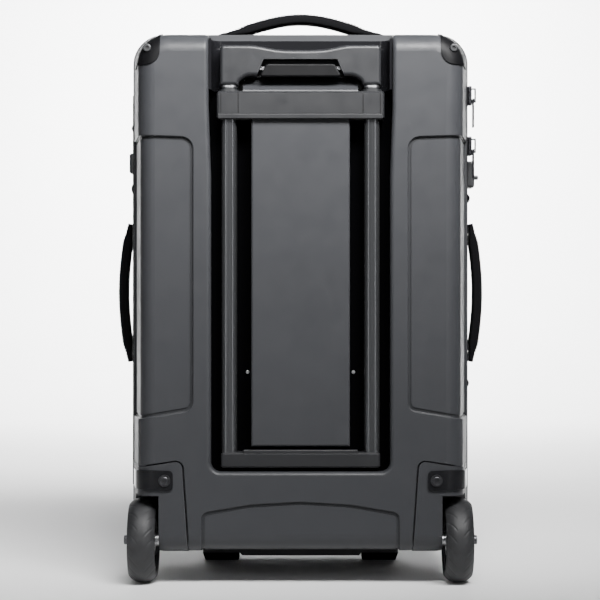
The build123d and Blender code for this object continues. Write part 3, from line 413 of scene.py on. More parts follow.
def ribbed_webbing(name, colour, rib=1.5, along="Z"):
    """Webbing: fine ribs across a strap, with a herringbone of threads."""
    n = Nodes(name)
    split = n.add("ShaderNodeSeparateXYZ")
    n.link(n.coords, split.inputs[0])
    length = split.outputs[along]
    aside = split.outputs["X" if along == "Z" else "Z"]
    other = n.math("ADD", split.outputs["Y"], n.math("MULTIPLY", aside, 0.35))
    zig = n.math("ABSOLUTE", n.math("SINE", n.math("MULTIPLY", other, math.pi / (2.4 * MM))))
    ribs = n.math("SINE", n.math("MULTIPLY", n.math("ADD", length, n.math("MULTIPLY", zig, 0.5 * rib * MM)),
                                 2 * math.pi / (rib * MM)))
    surface = n.math("ADD", n.math("MULTIPLY", ribs, 0.4), n.math("MULTIPLY", n.noise(1500.0, 3.0, 0.7), 0.5))
    # Colour follows the ribs' relief: painted shade in the rib valleys and painted light on the rib tops, mixed with
    # random thread tone.
    base = n.mix(n.ramp(surface, 0.0, 1.0, 0.0, 0.7), tuple(c * 0.55 for c in colour),
                 tuple(c * 1.3 for c in colour))
    # Painted shade in gaps and grooves, multiplied into the colour.
    base = n.mix(1.0, base, n.painted_gap_shade(3 * MM, 0.4), "MULTIPLY")
    return n.finish(base, 0.92, n.bump(surface, 0.6, 0.22 * MM), Specular_IOR_Level=0.06)


def worn_rubber(name, colour, roughness=0.42, dusty=1.9, level=0.4):
    """Matt rubber with a film of dust that is dusty times lighter."""
    n = Nodes(name)
    dust = n.ramp(n.noise(70.0, 5.0, 0.7), 0.0, 1.0, 0.45, 0.8)
    base = n.mix(dust, colour, tuple(c * dusty for c in colour))
    # Painted shade in gaps and grooves, multiplied into the colour.
    base = n.mix(1.0, base, n.painted_gap_shade(3 * MM, 0.3), "MULTIPLY")
    rough = n.ramp(dust, roughness, min(1.0, roughness + 0.2))
    return n.finish(base, rough, n.bump(n.noise(1400.0, 3.0, 0.6), 0.3, 0.05 * MM), Specular_IOR_Level=level)


def thread_material(name, colour):
    """Twisted sewing thread."""
    n = Nodes(name)
    twist = n.noise(2400.0, 2.0)
    base = n.mix(twist, tuple(c * 0.7 for c in colour), tuple(c * 1.4 for c in colour))
    return n.finish(base, 0.6, n.bump(twist, 0.4, 0.05 * MM), Sheen_Weight=0.3)


SHELL = moulded_plastic("shell_plastic", (0.025, 0.0258, 0.0284), 0.44, shade_reach=7 * MM, paint_channel_shadow=True)
DARK = moulded_plastic("dark_plastic", (0.012, 0.0124, 0.0135), 0.38, 1800.0, 0.02)
SATIN = moulded_plastic("satin_plastic", (0.0125, 0.0128, 0.014), 0.4, 3200.0, 0.006, level=0.3)
SATIN_BLACK = moulded_plastic("satin_black", (0.003, 0.003, 0.0034), 0.45, 3200.0, 0.004, level=0.12)
GLOSS = gloss_plastic("gloss_black", (0.006, 0.006, 0.007))
GRIP = moulded_plastic("grip_plastic", (0.0135, 0.0139, 0.0153), 0.38, 3200.0, 0.003, level=0.32)
TUBE = anodised_tube("tube_aluminium", (0.14, 0.143, 0.15))
STEEL = machined_steel("steel", (0.62, 0.62, 0.64))
BLACK_STEEL = machined_steel("black_steel", (0.09, 0.09, 0.096), 0.32)
ZIP_METAL = machined_steel("zip_metal", (0.045, 0.045, 0.05), 0.28)
TYRE = worn_rubber("tyre_rubber", (0.0125, 0.0127, 0.0138), 0.55)
PAD = worn_rubber("pad_rubber", (0.0016, 0.0016, 0.0018), 0.8, 1.3, 0.06)
BODY = woven("body_fabric", (0.0085, 0.0087, 0.0097), 0.75, sheen=0.05)
LINING = woven("lining_fabric", (0.085, 0.088, 0.096), 0.5, 0.62, 0.06, 0.15, 0.0, 1.15)
WEBBING = ribbed_webbing("webbing", (0.0032, 0.0032, 0.0037))
WEB_ACROSS = ribbed_webbing("webbing_across", (0.0032, 0.0032, 0.0037), 1.5, "X")
TAPE = woven("zipper_tape", (0.007, 0.007, 0.0077), 0.45, 0.85, 0.08, 0.04)
COIL = moulded_plastic("zipper_coil", (0.009, 0.009, 0.0098), 0.42, 1500.0, 0.01)
THREAD = thread_material("thread", (0.03, 0.03, 0.033))
PIPING = worn_rubber("piping", (0.009, 0.0091, 0.01), 0.6, 1.3, 0.06)

# ==== CAD nodes that keep their shape ====
NODE_MATERIALS = {
    SHELL: ["rear_shell", "wheel_housing_left", "wheel_housing_right"],
    DARK: ["hub_left", "hub_right", "guide_bushes", "stage_collars", "foot_bar", "packing_buckles",
           "side_buckles", "guard_screws"],
    SATIN: ["upper_bracket", "lower_bracket"],
    SATIN_BLACK: ["release_bar", "corner_guard_left", "corner_guard_right"],
    GLOSS: ["handle_cup", "wheel_clip_left", "wheel_clip_right"],
    GRIP: ["grip_body", "grip_cap"],
    TUBE: [f"{stage}_tube_{side}" for stage in ("outer", "middle", "inner") for side in ("left", "right")],
    STEEL: ["grip_collars", "axle_spacers", "island_rivets", "push_rods", "bearings_left", "bearings_right"],
    BLACK_STEEL: ["housing_bolts", "axle_left", "axle_right"],
    ZIP_METAL: ["upper_slider", "lower_slider", "upper_pull", "lower_pull", "pocket_slider", "pocket_pull"],
    PAD: ["foot_pads"],
    LINING: ["rear_lining"],
}
for material, names in NODE_MATERIALS.items():
    for name in names:
        smooth_node(name)
        for material_slot in nodes[name].material_slots:
            material_slot.material = material

# ==== Camera, light and floor ====
def build_stage():
    """Pale floor that curves up into a back wall."""
    pale = Nodes("pale_floor")
    tint = pale.mix(pale.noise(3.0, 3.0), (0.78, 0.78, 0.78), (0.84, 0.84, 0.84))
    pale_material = pale.finish(tint, 0.7)
    reach, wall_y, curve = 7.0, 3.8, 1.6
    profile = [(-reach, 0.0)]
    profile += [(wall_y - curve + curve * math.sin(a), curve - curve * math.cos(a))
                for a in [math.pi / 2 * i / 16 for i in range(17)]]
    profile.append((wall_y, reach))
    verts = [(x, y, z) for y, z in profile for x in (-reach, reach)]
    faces = [(2 * i, 2 * i + 1, 2 * i + 3, 2 * i + 2) for i in range(len(profile) - 1)]
    mesh = bpy.data.meshes.new("floor")
    mesh.from_pydata(verts, [], faces)
    mesh.polygons.foreach_set("use_smooth", [True] * len(mesh.polygons))
    floor = bpy.data.objects.new("floor", mesh)
    floor.data.materials.append(pale_material)
    bpy.context.scene.collection.objects.link(floor)


def area_light(name, place, target, size, power, spread=180.0):
    """Rectangular lamp turned towards a target; spread is in degrees."""
    lamp = bpy.data.lights.new(name, "AREA")
    lamp.shape = "RECTANGLE"
    lamp.size, lamp.size_y = size
    lamp.energy = power
    lamp.spread = math.radians(spread)
    light = bpy.data.objects.new(name, lamp)
    light.location = place
    light.rotation_euler = (Vector(target) - Vector(place)).to_track_quat("-Z", "Y").to_euler()
    bpy.context.scene.collection.objects.link(light)


def build_light():
    world = bpy.data.worlds.new("studio")
    world.use_nodes = True
    world.node_tree.nodes["Background"].inputs[0].default_value = (0.95, 0.97, 1.0, 1)
    world.node_tree.nodes["Background"].inputs[1].default_value = 0.075
    bpy.context.scene.world = world
    area_light("key_above", (0.34, -0.95, 1.3), (0.03, 0, 0.84), (1.1, 0.45), 36.0, 82.0)
    area_light("front_fill", (-0.3, -3.0, 0.8), (0, 0, 0.3), (1.4, 1.6), 1.2)
    area_light("tube_strip_left", (-0.75, -1.6, 0.4), (0, 0, 0.3), (0.022, 1.5), 3.2)
    area_light("tube_strip_right", (0.75, -1.6, 0.4), (0, 0, 0.3), (0.022, 1.5), 3.2)
    area_light("back_left", (-0.8, 2.1, 2.7), (-0.2, 3.7, 0.7), (0.9, 0.9), 120.0, 100.0)
    area_light("back_right", (0.8, 2.1, 2.7), (0.2, 3.7, 0.7), (0.9, 0.9), 120.0, 100.0)
    area_light("floor_wash", (0, 1.1, 1.6), (0, 1.8, 0), (1.4, 0.8), 22.0, 80.0)


CAMERA_DISTANCE, CAMERA_HEIGHT = 1.83, 0.285
CAMERA_SHIFT = (-0.5 / 600, -5.3 / 600)
SENSOR = 36.0                             # mm
FRAME_WIDTH = 0.5856                      # width of the view at the shell's rear face


def build_camera():
    data = bpy.data.cameras.new("camera")
    data.sensor_width = SENSOR
    data.lens = SENSOR * CAMERA_DISTANCE / FRAME_WIDTH
    data.shift_x, data.shift_y = CAMERA_SHIFT
    camera = bpy.data.objects.new("camera", data)
    camera.location = (0.0, REAR - CAMERA_DISTANCE, CAMERA_HEIGHT)
    camera.rotation_euler = (math.pi / 2, 0, 0)
    bpy.context.scene.collection.objects.link(camera)
    bpy.context.scene.camera = camera


build_stage()
build_light()
build_camera()

# ==== Rim piping, zipper tapes and teeth ====
piping = rim_loop("rim_welt", 96.4 * MM, -1.0 * MM, circle_section(1.75 * MM, 12), PIPING, "hard_shell")
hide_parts("rim_piping")

tape_section = rounded_section(6.2 * MM, 1.5 * MM, 0.6 * MM, 3)
shell_tape = rim_loop("shell_tape", 101.2 * MM, -1.4 * MM, tape_section, TAPE, "hard_shell")
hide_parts("shell_zipper_tape")
cover_tape = rim_loop("cover_tape", 108.3 * MM, -1.4 * MM, rounded_section(3.3 * MM, 1.5 * MM, 0.6 * MM, 3), TAPE,
                      "soft_half")
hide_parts("cover_zipper_tape")


TOOTH_PITCH, TOOTH_THICK, TOOTH_ROUND = 1.5 * MM, 0.95 * MM, 0.4 * MM
MEAN_CORNER = 29 * MM


def coil_teeth(name, places, length, layers, body):
    """Coil elements as one mesh of small rounded bars.

    places lists (centre, across, along, out); layers lists (height in mm, size) from the tape up.
    """
    verts, faces = [], []
    section = rounded_section(length, TOOTH_THICK, TOOTH_ROUND, 2)
    ring = len(section)
    for centre, across, along, out in places:
        base = len(verts)
        for lift, grow in layers:
            verts.extend(centre + out * lift * MM + across * a * grow + along * b * grow for a, b in section)
        faces.extend(ring_faces(3, ring, True, False, base))
        faces.append(tuple(base + 2 * ring + k for k in range(ring)))
    return add_mesh(name, verts, faces, COIL, body)


def zipper_teeth(name, depth, outset, body):
    """Teeth of the main zipper, all the way round the bag."""
    length = 2 * (RIM_HALF * 2 + RIM_HIGH - RIM_LOW) - (8 - 2 * math.pi) * MEAN_CORNER
    across, places = Vector((0, 1, 0)), []
    for index, (x, z, nx, nz) in enumerate(perimeter(outset, int(length / TOOTH_PITCH))):
        out = Vector((nx, 0, nz))
        centre = Vector((x, REAR + depth + (0.35 if index % 2 else -0.35) * MM, z))
        places.append((centre, across, out.cross(across), out))
    return coil_teeth(name, places, 2.6 * MM, ((-1.0, 0.9), (0.55, 1.0), (1.0, 0.62)), body)


teeth = zipper_teeth("zipper_teeth", 105.3 * MM, -0.4 * MM, "hard_shell")
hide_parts("zipper_coil")


def tape_stitches(name, depth, outset, body):
    """One row of thread round the bag."""
    path = [(Vector((x, REAR + depth, z)), Vector((nx, 0, nz))) for x, z, nx, nz in perimeter(outset, 700)]
    return stitches(name, path + path[:1], THREAD, body)


tape_stitches("shell_tape_thread", 100.0 * MM, -0.72 * MM, "hard_shell")

# ---- Fabric hinge: a strip of body cloth from the shell to the soft half ----
hinge_low, hinge_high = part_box("fabric_hinge")
HINGE_FROM, HINGE_TO = REAR + 98.6 * MM, REAR + 112.0 * MM
HINGE_BULGE, HINGE_THICK = 1.3 * MM, 0.9 * MM


def fabric_hinge():
    """Strip of cloth along the left side, bulging a little."""
    rows, columns, verts = 40, 9, []
    for i in range(rows + 1):
        z = hinge_low.z + (hinge_high.z - hinge_low.z) * i / rows
        for j in range(columns):
            t = j / (columns - 1)
            bulge = HINGE_BULGE * math.sin(math.pi * t)
            verts.append((-(RIM_HALF + 0.3 * MM + bulge), HINGE_FROM + (HINGE_TO - HINGE_FROM) * t, z))
    piece = add_mesh("hinge_cloth", verts, ring_faces(rows + 1, columns, False), BODY, None)
    thick = piece.modifiers.new("thickness", "SOLIDIFY")
    thick.thickness = HINGE_THICK
    thick.offset = 0.0
    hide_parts("fabric_hinge")
    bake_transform(piece)


fabric_hinge()

# ==== Soft front half ====
COVER_HALF = cover_high.x
COVER_LOW, COVER_HIGH = cover_low.z, cover_high.z
COVER_REAR, COVER_FRONT = cover_low.y, cover_high.y


def cover_outline(inset, count):
    """The soft half's outline, inset by a distance."""
    return perimeter(0.0, count, TOP_CORNER - inset, LOW_CORNER - inset, COVER_HALF - inset, COVER_LOW + inset,
                     COVER_HIGH - inset)


AROUND = 360
TAPE_REACH, EDGE_TURN = 6 * MM, 20 * MM   # the flat strip by the zipper and the turn to the front
COVER_THICK = 3.2 * MM
HANDLE_BOXES = [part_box(node) for node in ("side_handle_left", "side_handle_right", "top_handle")]
HELD_REACH, HELD_FADE = 10 * MM, 30 * MM


def held_down(point):
    """Share of the swelling that is left near the carry handles, whose sewn ends pull the wall flat."""
    free = 1.0
    for low, high in HANDLE_BOXES:
        gap = max(low.x - point.x, point.x - high.x, low.z - point.z, point.z - high.z)
        free = min(free, max(0.0, min(1.0, (gap - HELD_REACH) / HELD_FADE)))
    return free


def cloth_swell(point, size, scale=14.0):
    """Slow, uneven swelling of padded cloth, the same every run."""
    return size * (0.65 * noise.noise(point * scale) + 0.35 * noise.noise(point * scale * 2.7))


def soft_gusset():
    """Side wall of the soft half: from the zipper tape round the front edge to the piped seam."""
    straight_start, straight_end = COVER_REAR + TAPE_REACH, COVER_FRONT - EDGE_TURN
    profile = [(0.0, COVER_REAR), (0.0, straight_start)]
    profile += [(0.0, straight_start + (straight_end - straight_start) * i / 14) for i in range(1, 15)]
    for i in range(1, 9):
        angle = math.pi / 2 * i / 10
        profile.append((EDGE_TURN * (1 - math.cos(angle)), straight_end + EDGE_TURN * math.sin(angle)))
    verts = []
    for inset, y in profile:
        t = (y - COVER_REAR) / (COVER_FRONT - COVER_REAR)
        for x, z, nx, nz in cover_outline(inset, AROUND):
            point = Vector((x, y, z))
            swell = 1.9 * MM * math.sin(math.pi * min(1.0, t * 1.05)) if t < 0.95 else 0.0
            edge = min(1.0, t * 7) * min(1.0, (1 - t) * 5 + 0.15)
            upright = abs(nx)
            swell += edge * cloth_swell(point, 1.5 * MM) * (0.4 + 0.6 * upright)
            verts.append(point + Vector((nx, 0, nz)) * swell * held_down(point))
    piece = add_mesh("cover_gusset", verts, ring_faces(len(profile), AROUND), BODY, "soft_half")
    return piece, verts[-AROUND:]


def soft_front(edge):
    """Front panel inside the piped seam, domed and a little uneven, on scaled rings of its edge."""
    centre = Vector((0, sum(p.y for p in edge) / len(edge), (COVER_LOW + COVER_HIGH) / 2))
    verts, rings = [], 15
    for r in range(rings):
        scale = 1.0 - 0.985 * r / (rings - 1)
        dome = 3.2 * MM * (1 - scale ** 3)
        for p in edge:
            at = Vector((centre.x + (p.x - centre.x) * scale, 0, centre.z + (p.z - centre.z) * scale))
            at.y = p.y + (COVER_FRONT - p.y) * min(1.0, (1 - scale) * 9) + dome * 0.3
            at.y += cloth_swell(at, 0.9 * MM, 11.0) * min(1.0, (1 - scale) * 5)
            verts.append(at)
    faces = ring_faces(rings, len(edge))
    faces.append(tuple((rings - 1) * len(edge) + k for k in range(len(edge))))
    return add_mesh("cover_front_panel", verts, faces, BODY, "soft_half")


def thicken(piece, amount):
    """Foam and lining behind the cloth; the faces are turned first so that they look outwards."""
    piece.data.flip_normals()
    solid = piece.modifiers.new("foam", "SOLIDIFY")
    solid.thickness = amount
    solid.offset = -1.0
    solid.use_even_offset = True
    piece.data.materials.append(LINING)
    solid.material_offset = 1
    solid.material_offset_rim = 0


gusset, front_edge = soft_gusset()
front_panel = soft_front(front_edge)
for soft_piece in (gusset, front_panel):
    thicken(soft_piece, COVER_THICK)
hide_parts("front_cover")


def edge_frames(points, lift=0.0):
    """Frames of a closed line of points on the front edge, pointing out and forwards."""
    centre = Vector((0, points[0].y, (COVER_LOW + COVER_HIGH) / 2))
    frames = []
    for i, point in enumerate(points):
        along = (points[(i + 1) % len(points)] - points[i - 1]).normalized()
        outward = (point - centre)
        outward.y = 0
        out = (along.cross(Vector((0, 1, 0)))).normalized()
        if out.dot(outward) < 0:
            out = -out
        diagonal = (out * 0.55 + Vector((0, 0.83, 0))).normalized()
        frames.append((point + diagonal * lift, along.cross(diagonal).normalized(), diagonal))
    return frames


seam_frames = edge_frames(front_edge, 0.9 * MM)
sweep("cover_piping", seam_frames, [circle_section(1.9 * MM, 10)] * len(seam_frames), PIPING, "soft_half",
      closed=True)


def seam_path(inset, lift):
    """Stitch path that runs a given inset inside the front seam."""
    path = []
    centre = Vector((0, 0, (COVER_LOW + COVER_HIGH) / 2))
    for p in front_edge:
        shrink = Vector((p.x - centre.x, 0, p.z - centre.z))
        at = Vector((p.x, p.y, p.z)) - shrink.normalized() * inset
        at.y += lift
        path.append((at, Vector((0, 1, 0))))
    return path + path[:1]


stitches("cover_seam_thread", seam_path(4.6 * MM, 1.15 * MM), THREAD, "soft_half")

# ==== Front pocket: a padded panel blown up by a short cloth simulation ====
def padded_slab(name, low, high, corner, cells=34):
    """Closed rounded slab between two corners, used as the cloth's starting shape."""
    half_x, half_z = (high.x - low.x) / 2, (high.z - low.z) / 2
    centre = Vector(((high.x + low.x) / 2, 0, (high.z + low.z) / 2))
    outline = perimeter(0.0, cells * 4, corner, corner, half_x, -half_z, half_z)
    verts, rings = [], 8
    for y, shrink in ((low.y, 0), (high.y, 1)):
        order = range(rings) if shrink else range(rings - 1, -1, -1)
        for r in order:
            scale = 1 - 0.97 * r / (rings - 1)
            verts.extend(Vector((centre.x + x * scale, y, centre.z + z * scale)) for x, z, _, _ in outline)
    count = len(outline)
    faces = ring_faces(2 * rings, count)
    faces.append(tuple(range(count - 1, -1, -1)))
    faces.append(tuple((2 * rings - 1) * count + k for k in range(count)))
    mesh = bpy.data.meshes.new(name)
    mesh.from_pydata([tuple(v) for v in verts], [], faces)
    slab = bpy.data.objects.new(name, mesh)
    bpy.context.scene.collection.objects.link(slab)
    return slab


def apply_modifiers(piece):
    """Bakes a piece's modifiers into its mesh."""
    depsgraph = bpy.context.evaluated_depsgraph_get()
    mesh = bpy.data.meshes.new_from_object(piece.evaluated_get(depsgraph))
    piece.modifiers.clear()
    piece.data = mesh


def inflate(piece, pressure, cap, frames=20, stiffness=12.0, voxel=5 * MM):
    """Remeshes the piece, blows it up as cloth, caps each point's move and applies the result."""
    remesh = piece.modifiers.new("remesh", "REMESH")
    remesh.mode = "VOXEL"
    remesh.voxel_size = voxel
    apply_modifiers(piece)
    start = [v.co.copy() for v in piece.data.vertices]
    cloth = piece.modifiers.new("cloth", "CLOTH")
    cloth.settings.quality = 6
    cloth.settings.mass = 0.25
    cloth.settings.tension_stiffness = stiffness
    cloth.settings.compression_stiffness = stiffness
    cloth.settings.shear_stiffness = 5.0
    cloth.settings.bending_stiffness = 0.8
    cloth.settings.use_pressure = True
    cloth.settings.uniform_pressure_force = pressure
    cloth.settings.effector_weights.gravity = 0
    cloth.collision_settings.use_collision = False
    cloth.point_cache.frame_end = frames
    group = piece.vertex_groups.new(name="held")
    back = min(v.y for v in start)
    held = [i for i, v in enumerate(start) if v.y < back + 2.0 * MM]
    group.add(held, 1.0, "REPLACE")
    cloth.settings.vertex_group_mass = "held"
    scene = bpy.context.scene
    for at in range(1, frames + 1):
        scene.frame_set(at)
    apply_modifiers(piece)
    scene.frame_set(1)
    for vertex, origin in zip(piece.data.vertices, start):
        move = vertex.co - origin
        if move.length > cap:
            vertex.co = origin + move.normalized() * cap


def front_pocket():
    """The pocket's padded panel, kept between the cover and a little past the pocket's own box."""
    low = pocket_low + Vector((2 * MM, 0.4 * MM, 2 * MM))
    high = pocket_high - Vector((2 * MM, 3.2 * MM, 2 * MM))
    piece = padded_slab("pocket_pad", low, high, 20 * MM)
    inflate(piece, 4.0, 7 * MM)
    front = pocket_high.y + 2.5 * MM
    for vertex in piece.data.vertices:
        vertex.co.y = min(vertex.co.y, front)
        vertex.co.y = max(vertex.co.y, pocket_low.y - 0.4 * MM)
    subdivide = piece.modifiers.new("subdivide", "SUBSURF")
    subdivide.levels = subdivide.render_levels = 1
    apply_modifiers(piece)
    piece.data.polygons.foreach_set("use_smooth", [True] * len(piece.data.polygons))
    piece.data.materials.clear()
    piece.data.materials.append(BODY)
    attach(piece, "soft_half")
    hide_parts("front_pocket")
    return piece


front_pocket()


def pocket_edge(inset, y, count=420):
    """Points and outward directions along the pocket's edge."""
    half_x = (pocket_high.x - pocket_low.x) / 2 - inset
    return [(Vector((x, y, z)), Vector((nx, 0, nz))) for x, z, nx, nz in
            perimeter(0.0, count, 18 * MM - inset, 24 * MM - inset, half_x, pocket_low.z + inset,
                      pocket_high.z - inset)]


welt = [(p, Vector((0, 1, 0)), n) for p, n in pocket_edge(1.5 * MM, pocket_low.y + 2.6 * MM)]
sweep("pocket_welt", welt, [circle_section(1.7 * MM, 10)] * len(welt), PIPING, "soft_half",
      closed=True)

# ---- Pocket zipper ----
zip_low, zip_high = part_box("pocket_zipper")
ZIP_END = 4 * MM                          # tape left without teeth at each end


def pocket_zipper():
    """Tape, teeth and two rows of thread of the pocket's zipper."""
    z = (zip_low.z + zip_high.z) / 2
    y = zip_low.y + 0.7 * MM
    width, up, out = zip_high.x - zip_low.x, Vector((0, 0, 1)), Vector((0, 1, 0))
    frames = [(Vector((zip_low.x + width * i / 60, y, z)), up, out) for i in range(61)]
    tape = sweep("pocket_zip_tape", frames, [rounded_section(16 * MM, 1.3 * MM, 0.5 * MM, 3)] * 61, TAPE,
                 "soft_half")
    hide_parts("pocket_zipper")
    places = []
    for i in range(int((width - 2 * ZIP_END) / TOOTH_PITCH)):
        x = zip_low.x + ZIP_END + i * TOOTH_PITCH
        centre = Vector((x, y + 0.7 * MM, z + (0.4 if i % 2 else -0.4) * MM))
        places.append((centre, up, Vector((1, 0, 0)), out))
    coil_teeth("pocket_zip_teeth", places, 3.4 * MM, ((-0.3, 0.95), (0.35, 1.0), (0.8, 0.6)), "soft_half")
    for offset in (-5.8, 5.8):
        path = [(Vector((p.x, y + 0.66 * MM, z + offset * MM)), out) for p, _, _ in frames]
        stitches("pocket_zip_thread_" + ("low" if offset < 0 else "high"), path, THREAD, "soft_half")


pocket_zipper()

# ==== Carry handles ====
def handle_line(t, middle, end, bow):
    """Height of a handle's centre line above the wall; t runs from -1 to 1 and bow shapes the flanks."""
    drop = middle - end
    return middle - (1 + bow) * drop * t * t + bow * drop * t ** 4


HANDLE_THICK, HANDLE_WIDTH = 10.5 * MM, 23 * MM
SEAM_AT = 0.36                            # where the threads run, as a share of the width


def carry_handle(name, node, body, origin, along, out, across, end, reach, half_span, material, bow=0.27):
    """Padded webbing handle: an arched, tapering strap with raised edges and two rows of thread."""
    middle, steps = reach - HANDLE_THICK / 2, 72
    frames, sections, seam_paths = [], [], ([], [])
    for i in range(steps + 1):
        t = -1 + 2 * i / steps
        rise = handle_line(t, middle, end, bow)
        before, after = max(-1, t - 0.01), min(1, t + 0.01)
        slope = (handle_line(after, middle, end, bow) - handle_line(before, middle, end, bow))
        slope /= half_span * (after - before)
        normal = (out - along * slope).normalized()
        pad = 1.0 - 0.58 * max(0.0, (abs(t) - 0.74) / 0.26) ** 0.8
        flat = 1.0 - 0.06 * pad
        point = origin + along * (t * half_span) + out * rise
        frames.append((point, across, normal))
        thickness = HANDLE_THICK * pad * 0.98
        section = []
        for a, b in rounded_section(HANDLE_WIDTH * flat, thickness, min(thickness * 0.46, 3.6 * MM), 5):
            valley = 0.10 * thickness * math.exp(-((abs(a) - HANDLE_WIDTH * SEAM_AT) / (0.9 * MM)) ** 2)
            section.append((a, b - math.copysign(valley, b)))
        sections.append(section)
        for side, path in zip((-1, 1), seam_paths):
            path.append((point + across * side * HANDLE_WIDTH * SEAM_AT
                         + normal * (thickness * 0.5 - 0.35 * MM), normal))
    piece = sweep(name, frames, sections, material, body)
    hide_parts(node)
    for tag, path in zip(("a", "b"), seam_paths):
        stitches(f"{name}_thread_{tag}", path, THREAD, body)
    return piece


left_low, left_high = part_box("side_handle_left")
right_low, right_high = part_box("side_handle_right")
top_low, top_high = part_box("top_handle")
side_mid_y = (right_low.y + right_high.y) / 2
side_mid_z = (right_low.z + right_high.z) / 2
side_half = (right_high.z - right_low.z) / 2
carry_handle("handle_pad_right", "side_handle_right", "handle_right", Vector((0, side_mid_y, side_mid_z)),
             Vector((0, 0, 1)), Vector((1, 0, 0)), Vector((0, 1, 0)), right_low.x + 4.9 * MM, right_high.x, side_half,
             WEBBING)
carry_handle("handle_pad_left", "side_handle_left", "handle_left", Vector((0, side_mid_y, side_mid_z)),
             Vector((0, 0, 1)), Vector((-1, 0, 0)), Vector((0, 1, 0)), 4.9 * MM - left_high.x, -left_low.x, side_half,
             WEBBING)
carry_handle("handle_pad_top", "top_handle", "handle_top", Vector((0, (top_low.y + top_high.y) / 2, 0)),
             Vector((1, 0, 0)), Vector((0, 0, 1)), Vector((0, 1, 0)), top_low.z + 4.3 * MM, top_high.z,
             (top_high.x - top_low.x) / 2, WEB_ACROSS, 0.62)


def anchor_patch(name, centre, along, out, across, length, width, rise, material):
    """Sewn end of a handle: a padded tab that slopes to the wall, with a box stitch."""
    steps = 12
    frames, sections = [], []
    for i in range(steps + 1):
        t = i / steps
        lift = rise * (1 - 0.62 * t ** 1.5)
        frames.append((centre + along * (length * t) + out * (lift / 2), across, out))
        grow = 1.0 - 0.1 * t ** 4
        sections.append(rounded_section(width * grow, lift, min(lift * 0.42, 2.2 * MM), 4))
    piece = sweep(name, frames, sections, material, "soft_half")
    loop = []
    for a, t in ((-0.36, 0.22), (0.36, 0.22), (0.36, 0.88), (-0.36, 0.88), (-0.36, 0.22), (0.36, 0.88)):
        lift = rise * (1 - 0.62 * t ** 1.5) + 0.05 * MM
        loop.append((centre + along * (length * t) + across * (width * a) + out * lift, out))
    stitches(name + "_thread", loop, THREAD, "soft_half", 2.6 * MM, 1.9 * MM)
    return piece


def all_anchors():
    """Two sewn ends for each of the three handles."""
    for side, box in ((-1, (left_low, left_high)), (1, (right_low, right_high))):
        out = Vector((side, 0, 0))
        for end in (-1, 1):
            z = box[1].z + 0.4 * MM if end > 0 else box[0].z - 0.4 * MM
            centre = Vector((side * (COVER_HALF - 0.3 * MM), side_mid_y, z))
            anchor_patch(f"anchor_{'left' if side < 0 else 'right'}_{'top' if end > 0 else 'low'}",
                                        centre, Vector((0, 0, end)), out, Vector((0, 1, 0)), 21 * MM, 26 * MM,
                                        6.6 * MM, WEBBING)
    for end in (-1, 1):
        x = top_high.x + 0.4 * MM if end > 0 else top_low.x - 0.4 * MM
        centre = Vector((x, (top_low.y + top_high.y) / 2, COVER_HIGH - 0.3 * MM))
        anchor_patch("anchor_top_" + ("right" if end > 0 else "left"), centre, Vector((end, 0, 0)),
                                    Vector((0, 0, 1)), Vector((0, 1, 0)), 19 * MM, 26 * MM, 10.8 * MM, WEB_ACROSS)
    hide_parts("handle_anchors")


all_anchors()

# ==== Tyres with moulded tread ====
TYRE_WALL, TYRE_CROWN = 11 * MM, 6.2 * MM     # height above the hub, drop from the middle to the edges
TREAD_BLOCKS, TREAD_CUT = 21, 0.5 * MM
TREAD_FROM, TREAD_TO = 0.2, 0.97              # shares of the half width


def tyre(side):
    """Crowned tyre with shallow swept grooves."""
    low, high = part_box(f"tyre_{side}")
    centre = (low + high) / 2
    radius, half = (high.z - low.z) / 2, (high.x - low.x) / 2
    rim = radius - TYRE_WALL
    profile = [(-half + 1.4 * MM, rim), (-half + 0.2 * MM, rim + 1.4 * MM), (-half, rim + 3.4 * MM)]
    crown = 34
    for i in range(crown + 1):
        s = -1 + 2 * i / crown
        bow = radius - TYRE_CROWN * abs(s) ** 2.7
        profile.append((s * (half - 0.15 * MM), bow))
    profile += [(half, rim + 3.4 * MM), (half - 0.2 * MM, rim + 1.4 * MM), (half - 1.4 * MM, rim)]
    around = 420
    verts = []
    for j in range(around):
        angle = 2 * math.pi * j / around
        for x, r in profile:
            s = x / half
            cut = 0.0
            if r > radius - TYRE_CROWN - 0.1 * MM and TREAD_FROM < abs(s) < TREAD_TO:
                sweep_back = 1.25 * (abs(s) - TREAD_FROM) ** 0.75
                phase = (angle * TREAD_BLOCKS / (2 * math.pi) + sweep_back + (0.5 if s > 0 else 0.0)) % 1.0
                near = abs(phase - 0.5) / 0.5
                edge = min(1.0, (abs(s) - TREAD_FROM) * 9) * min(1.0, (TREAD_TO - abs(s)) * 12)
                cut = TREAD_CUT * max(0.0, 1 - near / 0.2) * edge
            verts.append(Vector((centre.x + x, centre.y + (r - cut) * math.cos(angle),
                                 centre.z + (r - cut) * math.sin(angle))))
    faces = ring_faces(around, len(profile), True, True)
    piece = add_mesh(f"tread_{side}", verts, faces, TYRE, f"wheel_{side}")
    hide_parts(f"tyre_{side}")


for wheel in ("left", "right"):
    tyre(wheel)

# ==== Webbing loops and packing straps ====
def gear_loop(name, side, z, proud, height):
    """Small sewn loop of webbing that stands off the side wall."""
    frames, sections = [], []
    y = REAR + 130 * MM
    for i in range(25):
        t = i / 24
        lift = proud * (math.sin(math.pi * t) ** 0.6 if 0 < t < 1 else 0.0)
        point = Vector((side * (COVER_HALF + lift - 0.9 * MM), y, z + height * (t - 0.5) * 1.5))
        frames.append((point, Vector((0, 1, 0)), Vector((side, 0, 0))))
        sections.append(rounded_section(22 * MM, 1.8 * MM, 0.8 * MM, 3))
    return sweep(name, frames, sections, WEBBING, "soft_half")


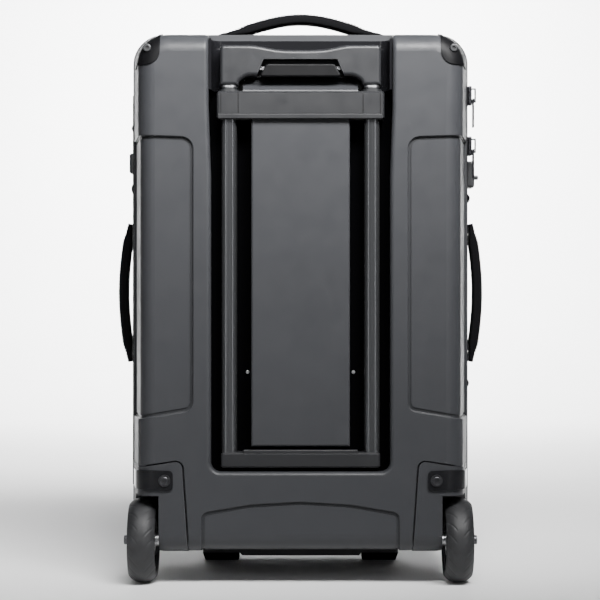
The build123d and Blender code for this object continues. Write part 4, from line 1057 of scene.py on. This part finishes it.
LOOPS = (("a", -1, 458.0, 5.2, 8), ("b", -1, 395.0, 5.4, 11),      # letter, side, height, proud, length
         ("c", 1, 385.0, 5.8, 9), ("d", 1, 193.2, 4.8, 8))
loops = [gear_loop(f"gear_loop_{letter}", side, z * MM, proud * MM, length * MM)
         for letter, side, z, proud, length in LOOPS]
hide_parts("webbing_loops")

strap_low, strap_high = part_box("packing_straps")


def packing_straps():
    """Two straps that sag a little across the lining."""
    for index, z in enumerate((strap_low.z + 12.5 * MM, strap_high.z - 12.5 * MM)):
        frames = []
        for i in range(61):
            t = i / 60
            x = strap_low.x + (strap_high.x - strap_low.x) * t
            sag = 1.2 * MM * math.sin(2 * math.pi * t) * math.sin(math.pi * t)
            frames.append((Vector((x, strap_low.y + 1.0 * MM, z + sag)), Vector((0, 0, 1)), Vector((0, 1, 0))))
        sweep(f"packing_strap_{index}", frames, [rounded_section(25 * MM, 1.3 * MM, 0.6 * MM, 3)] * 61,
                            WEB_ACROSS, "hard_shell")
    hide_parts("packing_straps")


packing_straps()

# ==== Cloth lining of the hard half ====
LINING_CELL = 14 * MM                     # longest edge left in the cloth's mesh
LINING_WAVE = 0.55 * MM                   # how far the cloth wanders from its flat cut


def cloth_lining(name, node):
    """Cloth glued into the shell: the lining's own walls, cut into small cells and gently rippled."""
    source = nodes[node]
    cells = bmesh.new()
    cells.from_mesh(source.data)
    cells.transform(source.matrix_world)
    bmesh.ops.remove_doubles(cells, verts=cells.verts, dist=0.02 * MM)
    for _ in range(7):
        bmesh.ops.triangulate(cells, faces=cells.faces)
        long_edges = [edge for edge in cells.edges if edge.calc_length() > LINING_CELL]
        if not long_edges:
            break
        bmesh.ops.subdivide_edges(cells, edges=long_edges, cuts=1)
    bmesh.ops.triangulate(cells, faces=cells.faces)
    verts = []
    for vert in cells.verts:
        at = vert.co
        ripple = noise.noise_vector(at * 16.0) * 0.7 + noise.noise_vector(at * 41.0) * 0.3
        verts.append(at + ripple * LINING_WAVE * 2)
    cells.verts.index_update()
    faces = [tuple(vert.index for vert in face.verts) for face in cells.faces]
    cells.free()
    piece = add_mesh(name, verts, faces, LINING, "hard_shell")
    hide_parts(node)
    return piece


cloth_lining("lining_cloth", "rear_lining")
